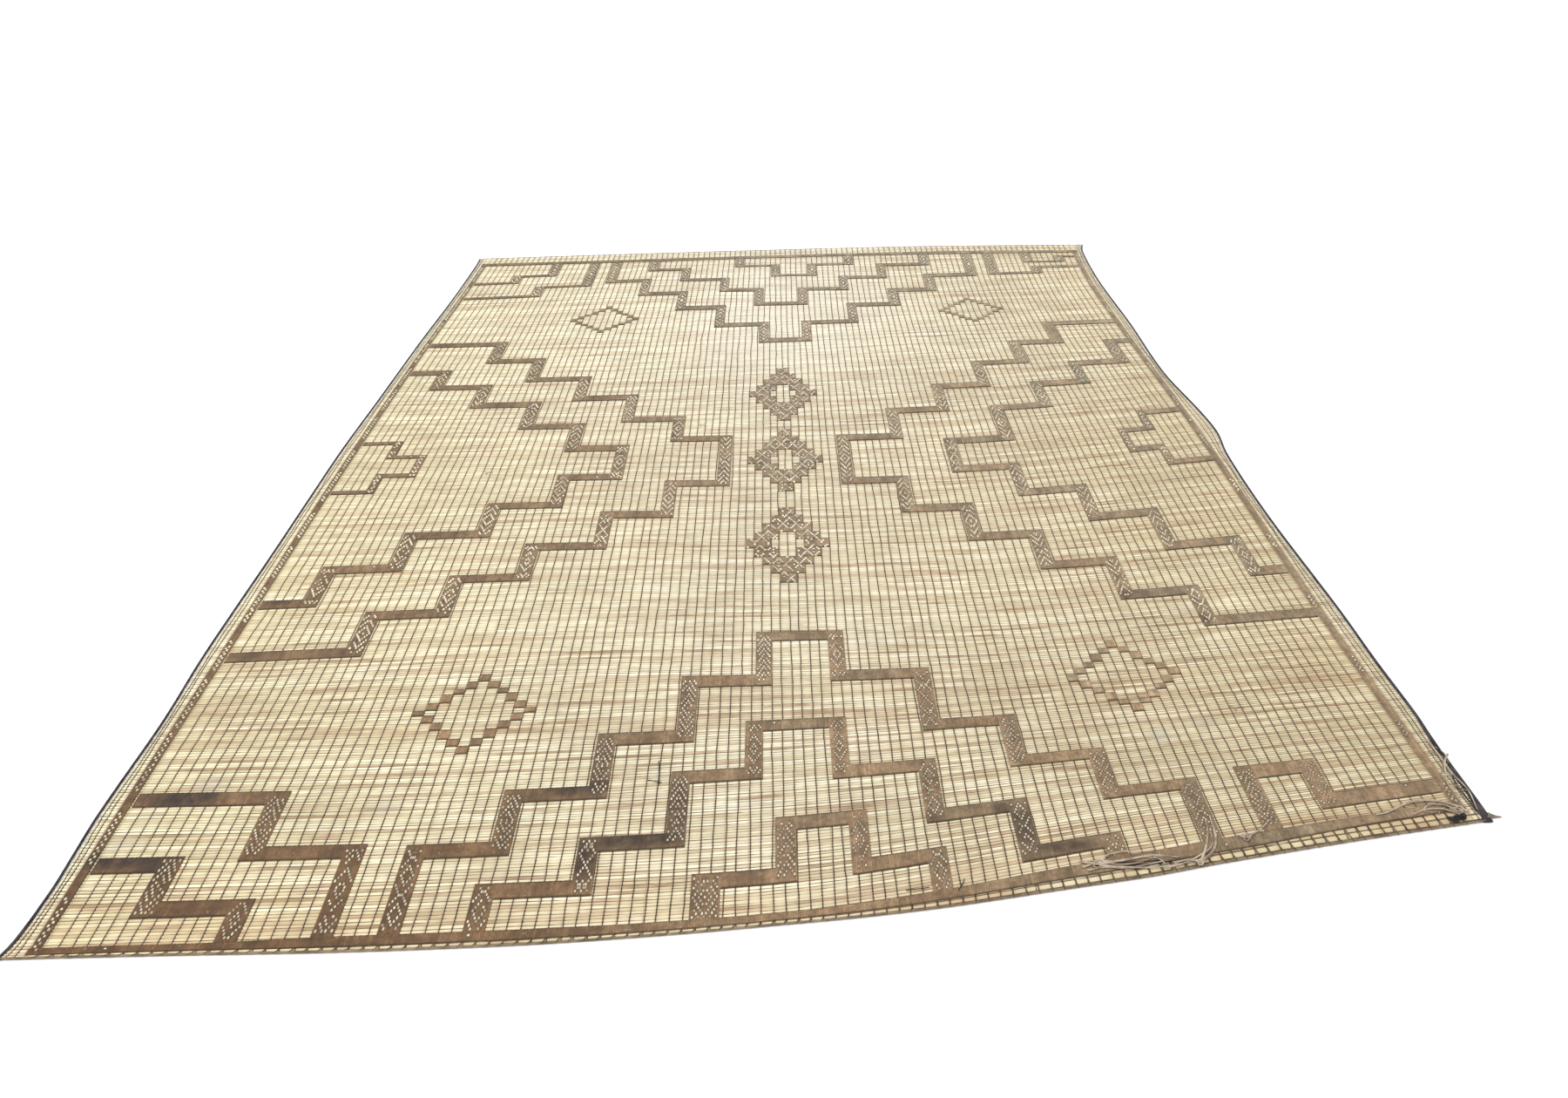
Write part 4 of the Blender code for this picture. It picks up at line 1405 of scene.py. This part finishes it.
# loose ends and their knots, in the measured frame
looseEnds = {
    "loose_ends_hem": (
        ((0.515, -1.708), (0.548, -1.716), (0.600, -1.711), (0.655, -1.704), (0.705, -1.712)),
        ((0.550, -1.721), (0.612, -1.731), (0.668, -1.733), (0.722, -1.726)),
        ((0.552, -1.712), (0.570, -1.698), (0.603, -1.692), (0.640, -1.694)),
        ((0.560, -1.714), (0.590, -1.722), (0.630, -1.718), (0.662, -1.708), (0.690, -1.716)),
    ),
    "loose_ends_ribbon": (
        ((0.738, -1.728), (0.772, -1.704), (0.790, -1.668), (0.797, -1.612)),
        ((0.745, -1.722), (0.764, -1.690), (0.781, -1.648), (0.785, -1.618)),
        ((0.690, -1.727), (0.715, -1.722), (0.742, -1.724), (0.776, -1.702)),
    ),
    "loose_ends_corner": (
        (
            (1.311, -1.643), (1.293, -1.624), (1.258, -1.608),
            (1.208, -1.608), (1.150, -1.631), (1.124, -1.636),
        ),
        ((1.286, -1.644), (1.262, -1.632), (1.228, -1.631), (1.196, -1.642)),
        ((1.288, -1.640), (1.270, -1.622), (1.240, -1.620), (1.222, -1.634), (1.240, -1.640)),
    ),
}
knots = {
    "loose_ends_hem": (0.546, -1.716, 0.014, 0.0095),
    "loose_ends_ribbon": (0.740, -1.727, 0.009, 0.0070),
    "loose_ends_corner": (1.290, -1.637, 0.013, 0.0100),
}
strand = {
    "steps": 36,
    "height": 0.0077,
    "lift": 0.0009,           # of each strand over the one before, three by three
    "wave": 0.0003,
    "waves": (19, 2),         # along a strand, and the shift from each strand to the next
    "halfWidth": 0.0031,
    "halfHeight": 0.0011,
    "tip": 0.50,
    "taper": 1.5,
    "thinner": 0.18,
    "flatter": 0.4,
    "knotHeight": 0.0092,
    "knotThick": 0.0018,
    "knotFlat": 0.8,
    "knotReach": 2.7,         # of the knot's curve from its middle
    "knotSteps": 60,
}


def lineThrough(points, steps):
    # a smooth line through a few points
    points = np.array(points)
    knotsAt = np.concatenate([[0.0], np.cumsum(np.hypot(*np.diff(points, axis=0).T))])
    at = np.linspace(0, knotsAt[-1], steps + 1)
    return curveThrough(knotsAt, points[:, 0], at), curveThrough(knotsAt, points[:, 1], at)


def addKnot(centreX, centreY, halfLong, halfShort, height, thick):
    # an overhand knot seen from above
    t = np.linspace(0, 2 * np.pi, strand["knotSteps"] + 1)
    x = centreX + halfLong / strand["knotReach"] * (np.sin(t) + 2 * np.sin(2 * t))
    y = centreY + halfShort / strand["knotReach"] * (np.cos(t) - 2 * np.cos(2 * t))
    halfHeight = thick * strand["knotFlat"]
    return addTube("knot", x, y, height - np.sin(3 * t) * halfHeight, thick, halfHeight, 6)


def makeLooseEnds(name):
    pieces = []
    turns, shift = strand["waves"]
    for number, points in enumerate(looseEnds[name]):
        x, y = lineThrough(np.array(points) - layout["middle"], strand["steps"])
        share = np.linspace(0, 1, strand["steps"] + 1)
        height = strand["height"] + strand["lift"] * (number % 3)
        height = height + strand["wave"] * np.sin(share * turns + number * shift)
        taper = 1 - (1 - strand["tip"]) * share ** strand["taper"]
        halfWidth = strand["halfWidth"] * taper * (1 - strand["thinner"] * min(number, 3))
        halfHeight = strand["halfHeight"] * (1 - strand["flatter"] * (1 - taper))
        pieces.append(addTube("strand", x, y, height, halfWidth, halfHeight))
    knotX, knotY, halfLong, halfShort = knots[name]
    knotX, knotY = knotX - layout["middle"][0], knotY - layout["middle"][1]
    pieces.append(addKnot(knotX, knotY, halfLong, halfShort, strand["knotHeight"], strand["knotThick"]))
    piece = joinPieces(name.replace("loose_ends", "loose_thongs"), pieces)
    settle(piece, thongFinish, "thong", name)


for name in looseEnds:
    makeLooseEnds(name)

# the pointed end of the binding that sticks out at the near right corner
tab = {
    "row": -1.850,
    "start": -0.0030,
    "length": 0.0255,
    "steps": 14,
    "low": (0.0070, 0.0100),      # its long edges and its height, at the root and at the tip
    "high": (0.0260, 0.0105),
    "heights": (0.0056, 0.0030),
    "bend": 0.7,
    "halfTip": 0.0010,
    "wave": 0.0004,
    "waves": 9,
}


def makeTab():
    rootX, rootY = placeEdge(1, np.array(tab["row"]), 0.0)
    share = np.linspace(0, 1, tab["steps"] + 1)
    low = np.interp(share, (0, 1), tab["low"])
    high = np.interp(share ** tab["bend"], (0, 1), tab["high"])
    x = rootX + tab["start"] + tab["length"] * share
    y = rootY + (low + high) / 2
    halfWidth = np.maximum((high - low) / 2, tab["halfTip"])
    height = np.interp(share, (0, 1), tab["heights"]) + tab["wave"] * np.sin(share * tab["waves"])
    piece = addTube("pointed_tab", x, y, height / 2, halfWidth, height / 2, 10)
    settle(piece, tabFinish, "dark_leather", "corner_tab")


makeTab()

# thin strands, in the mat's own frame; their sizes are half widths at the two ends and a half height
tails = {
    "steps": 24, "height": 0.0079, "sizes": (0.0022, 0.0009, 0.0009), "around": 8,
    "lines": (((0.852, -1.763), (0.884, -1.746), (0.905, -1.729), (0.923, -1.714)),),
}
thongs = {
    "steps": 32, "height": 0.0078, "sizes": (0.0023, 0.0012, 0.0009), "around": 8,
    "lines": (
        ((1.332, -1.522), (1.335, -1.577), (1.335, -1.626), (1.342, -1.673), (1.333, -1.727)),
        ((1.355, -1.569), (1.339, -1.588), (1.322, -1.623), (1.310, -1.661), (1.318, -1.690)),
        (
            (0.519, -1.812), (0.555, -1.801), (0.592, -1.803),
            (0.632, -1.796), (0.666, -1.802), (0.676, -1.815),
        ),
        ((0.526, -1.820), (0.563, -1.815), (0.602, -1.820), (0.639, -1.815), (0.675, -1.809)),
        ((0.672, -1.824), (0.704, -1.819), (0.746, -1.801), (0.779, -1.777), (0.787, -1.741)),
    ),
}
sticks = {
    "steps": 10, "height": 0.0066, "sizes": (0.0009, 0.0009, 0.0008), "around": 6,
    "lines": (
        ((0.280, -1.846), (0.288, -1.836), (0.295, -1.821)),
        ((0.184, -1.839), (0.205, -1.838), (0.228, -1.836)),
        ((-0.294, -1.461), (-0.291, -1.490), (-0.288, -1.530)),
        ((-0.312, -1.516), (-0.298, -1.520), (-0.283, -1.526)),
    ),
}
# dark strands laid between the loose strands as painted shadow
shadowStrands = {
    "steps": 16, "height": 0.0073, "sizes": (0.0012, 0.0012, 0.0009), "around": 6,
    "lines": (
        ((0.556, -1.8055), (0.592, -1.8050), (0.630, -1.8065), (0.668, -1.8060)),
        ((0.572, -1.8120), (0.615, -1.8135), (0.655, -1.8120), (0.690, -1.8095)),
        ((0.700, -1.8150), (0.728, -1.8120), (0.752, -1.8040)),
        (
            (1.343, -1.524), (1.343, -1.568), (1.338, -1.615),
            (1.325, -1.660), (1.328, -1.695), (1.328, -1.733),
        ),
    ),
}
frayed = {
    "steps": 30, "height": 0.0066, "sizes": (0.0010, 0.0010, 0.0008), "around": 6,
    "lines": (
        (
            (1.339, -1.545), (1.349, -1.570), (1.328, -1.600),
            (1.312, -1.627), (1.315, -1.652), (1.340, -1.675),
        ),
        ((1.318, -1.560), (1.337, -1.572), (1.344, -1.590), (1.333, -1.604)),
        ((1.251, -1.733), (1.262, -1.720), (1.281, -1.714), (1.299, -1.717), (1.312, -1.729)),
    ),
}
smallKnots = {
    "third": (0.850, -1.763, 0.010, 0.008, 0.0090, 0.0017),
    "black": (
        (1.276, -1.748, 0.011, 0.007, 0.0082, 0.0023),
        (1.293, -1.743, 0.008, 0.007, 0.0082, 0.0023),
    ),
}
curls = {
    "spots": (
        (-0.907, -0.165, 0.014),
        (-0.680, -0.300, 0.011),
        (-0.281, 0.108, 0.010),
        (0.965, -1.392, 0.016),
    ),
    "steps": 40, "height": 0.0056, "wave": 0.0003, "halfWidth": 0.0007, "halfHeight": 0.0006,
}


def addStrands(kind):
    startWidth, endWidth, halfHeight = kind["sizes"]
    halfWidth = np.linspace(startWidth, endWidth, kind["steps"] + 1)
    pieces = []
    for points in kind["lines"]:
        x, y = lineThrough(points, kind["steps"])
        pieces.append(addTube("strand", x, y, kind["height"], halfWidth, halfHeight, kind["around"]))
    return pieces


def addCurl(centreX, centreY, size):
    # a wandering thread, in shares of its size
    t = np.linspace(0, 1, curls["steps"] + 1)
    x = centreX + size * (t * 1.6 - 0.8) + size * 0.35 * np.sin(t * 9)
    y = centreY + size * 0.55 * np.cos(t * 8) * (1 - 0.4 * t)
    z = curls["height"] + curls["wave"] * np.sin(t * 12)
    return addTube("curl", x, y, z, curls["halfWidth"], curls["halfHeight"], 6)


def makeSmallThings():
    third = [addKnot(*smallKnots["third"])] + addStrands(tails) + addStrands(thongs)
    settle(joinPieces("loose_thongs_third", third), thongFinish, "thong")
    blackKnots = [addKnot(*knot) for knot in smallKnots["black"]]
    settle(joinPieces("black_thong_knot", blackKnots), blackFinish, "dark_leather")
    # dark bits, with dark strands that stand in for the shadow between the loose strands
    darkBitsAndShadowStrands = addStrands(sticks) + addStrands(shadowStrands)
    settle(joinPieces("dark_bits_and_shadow_strands", darkBitsAndShadowStrands), blackFinish, "dark_leather")
    threads = addStrands(frayed) + [addCurl(*curl) for curl in curls["spots"]]
    settle(joinPieces("loose_threads", threads), threadFinish, "thong")


makeSmallThings()
print("loose ends made")

# camera, light and floor
studio = {
    "cameraAt": (0.0114, -3.2396, 1.65),
    "cameraTurn": (radians(57.38), 0, -0.07772),
    "lens": 26,
    "shift": -0.0556,
    "floor": ((0.0, (0.95, 0.95, 0.95)), (1.0, (0.97, 0.97, 0.97))),
    "floorSize": 80,
    "floorHeight": -0.0006,
    "sky": 1.04,
    "lamp": 190,
    "lampSize": 6.0,
    "lampAt": (-2.6, -1.2, 5.2),
    "lampTurn": (radians(10), radians(-24), 0),
}


def makeCamera():
    bpy.ops.object.camera_add(location=studio["cameraAt"], rotation=studio["cameraTurn"])
    camera = bpy.context.object
    camera.data.sensor_width = 36
    camera.data.lens = studio["lens"]
    camera.data.shift_x = studio["shift"]
    camera.data.dof.use_dof = False
    bpy.context.scene.camera = camera


def makeFloor():
    bpy.ops.object.select_all(action="DESELECT")
    bpy.ops.mesh.primitive_plane_add(size=studio["floorSize"], location=(0, 0, studio["floorHeight"]))
    floor = bpy.context.object
    floor.name = "floor"
    finish = newFinish("floor", 0.9)
    setLook(finish, colourBand(finish, cloud(finish, spotOf(finish), 0.6, 2.0), studio["floor"]))
    floor.data.materials.append(finish)


def makeLight():
    bpy.ops.object.light_add(type="AREA", location=studio["lampAt"])
    lamp = bpy.context.object
    lamp.data.size = studio["lampSize"]
    lamp.data.energy = studio["lamp"]
    lamp.rotation_euler = studio["lampTurn"]
    world = bpy.data.worlds.new("studio")
    world.use_nodes = True
    world.node_tree.nodes["Background"].inputs["Color"].default_value = (1, 1, 1, 1)
    world.node_tree.nodes["Background"].inputs["Strength"].default_value = studio["sky"]
    bpy.context.scene.world = world
    bpy.context.scene.view_settings.view_transform = "Standard"


makeCamera()
makeFloor()
makeLight()

# the reeds come last: they are the largest pieces
thirds = [reeds["count"] * part // 3 for part in range(4)]
for name, first, last in zip(("reeds_near", "reeds_middle", "reeds_far"), thirds, thirds[1:]):
    piece = makeReeds(name, first, last)
print("reeds made")
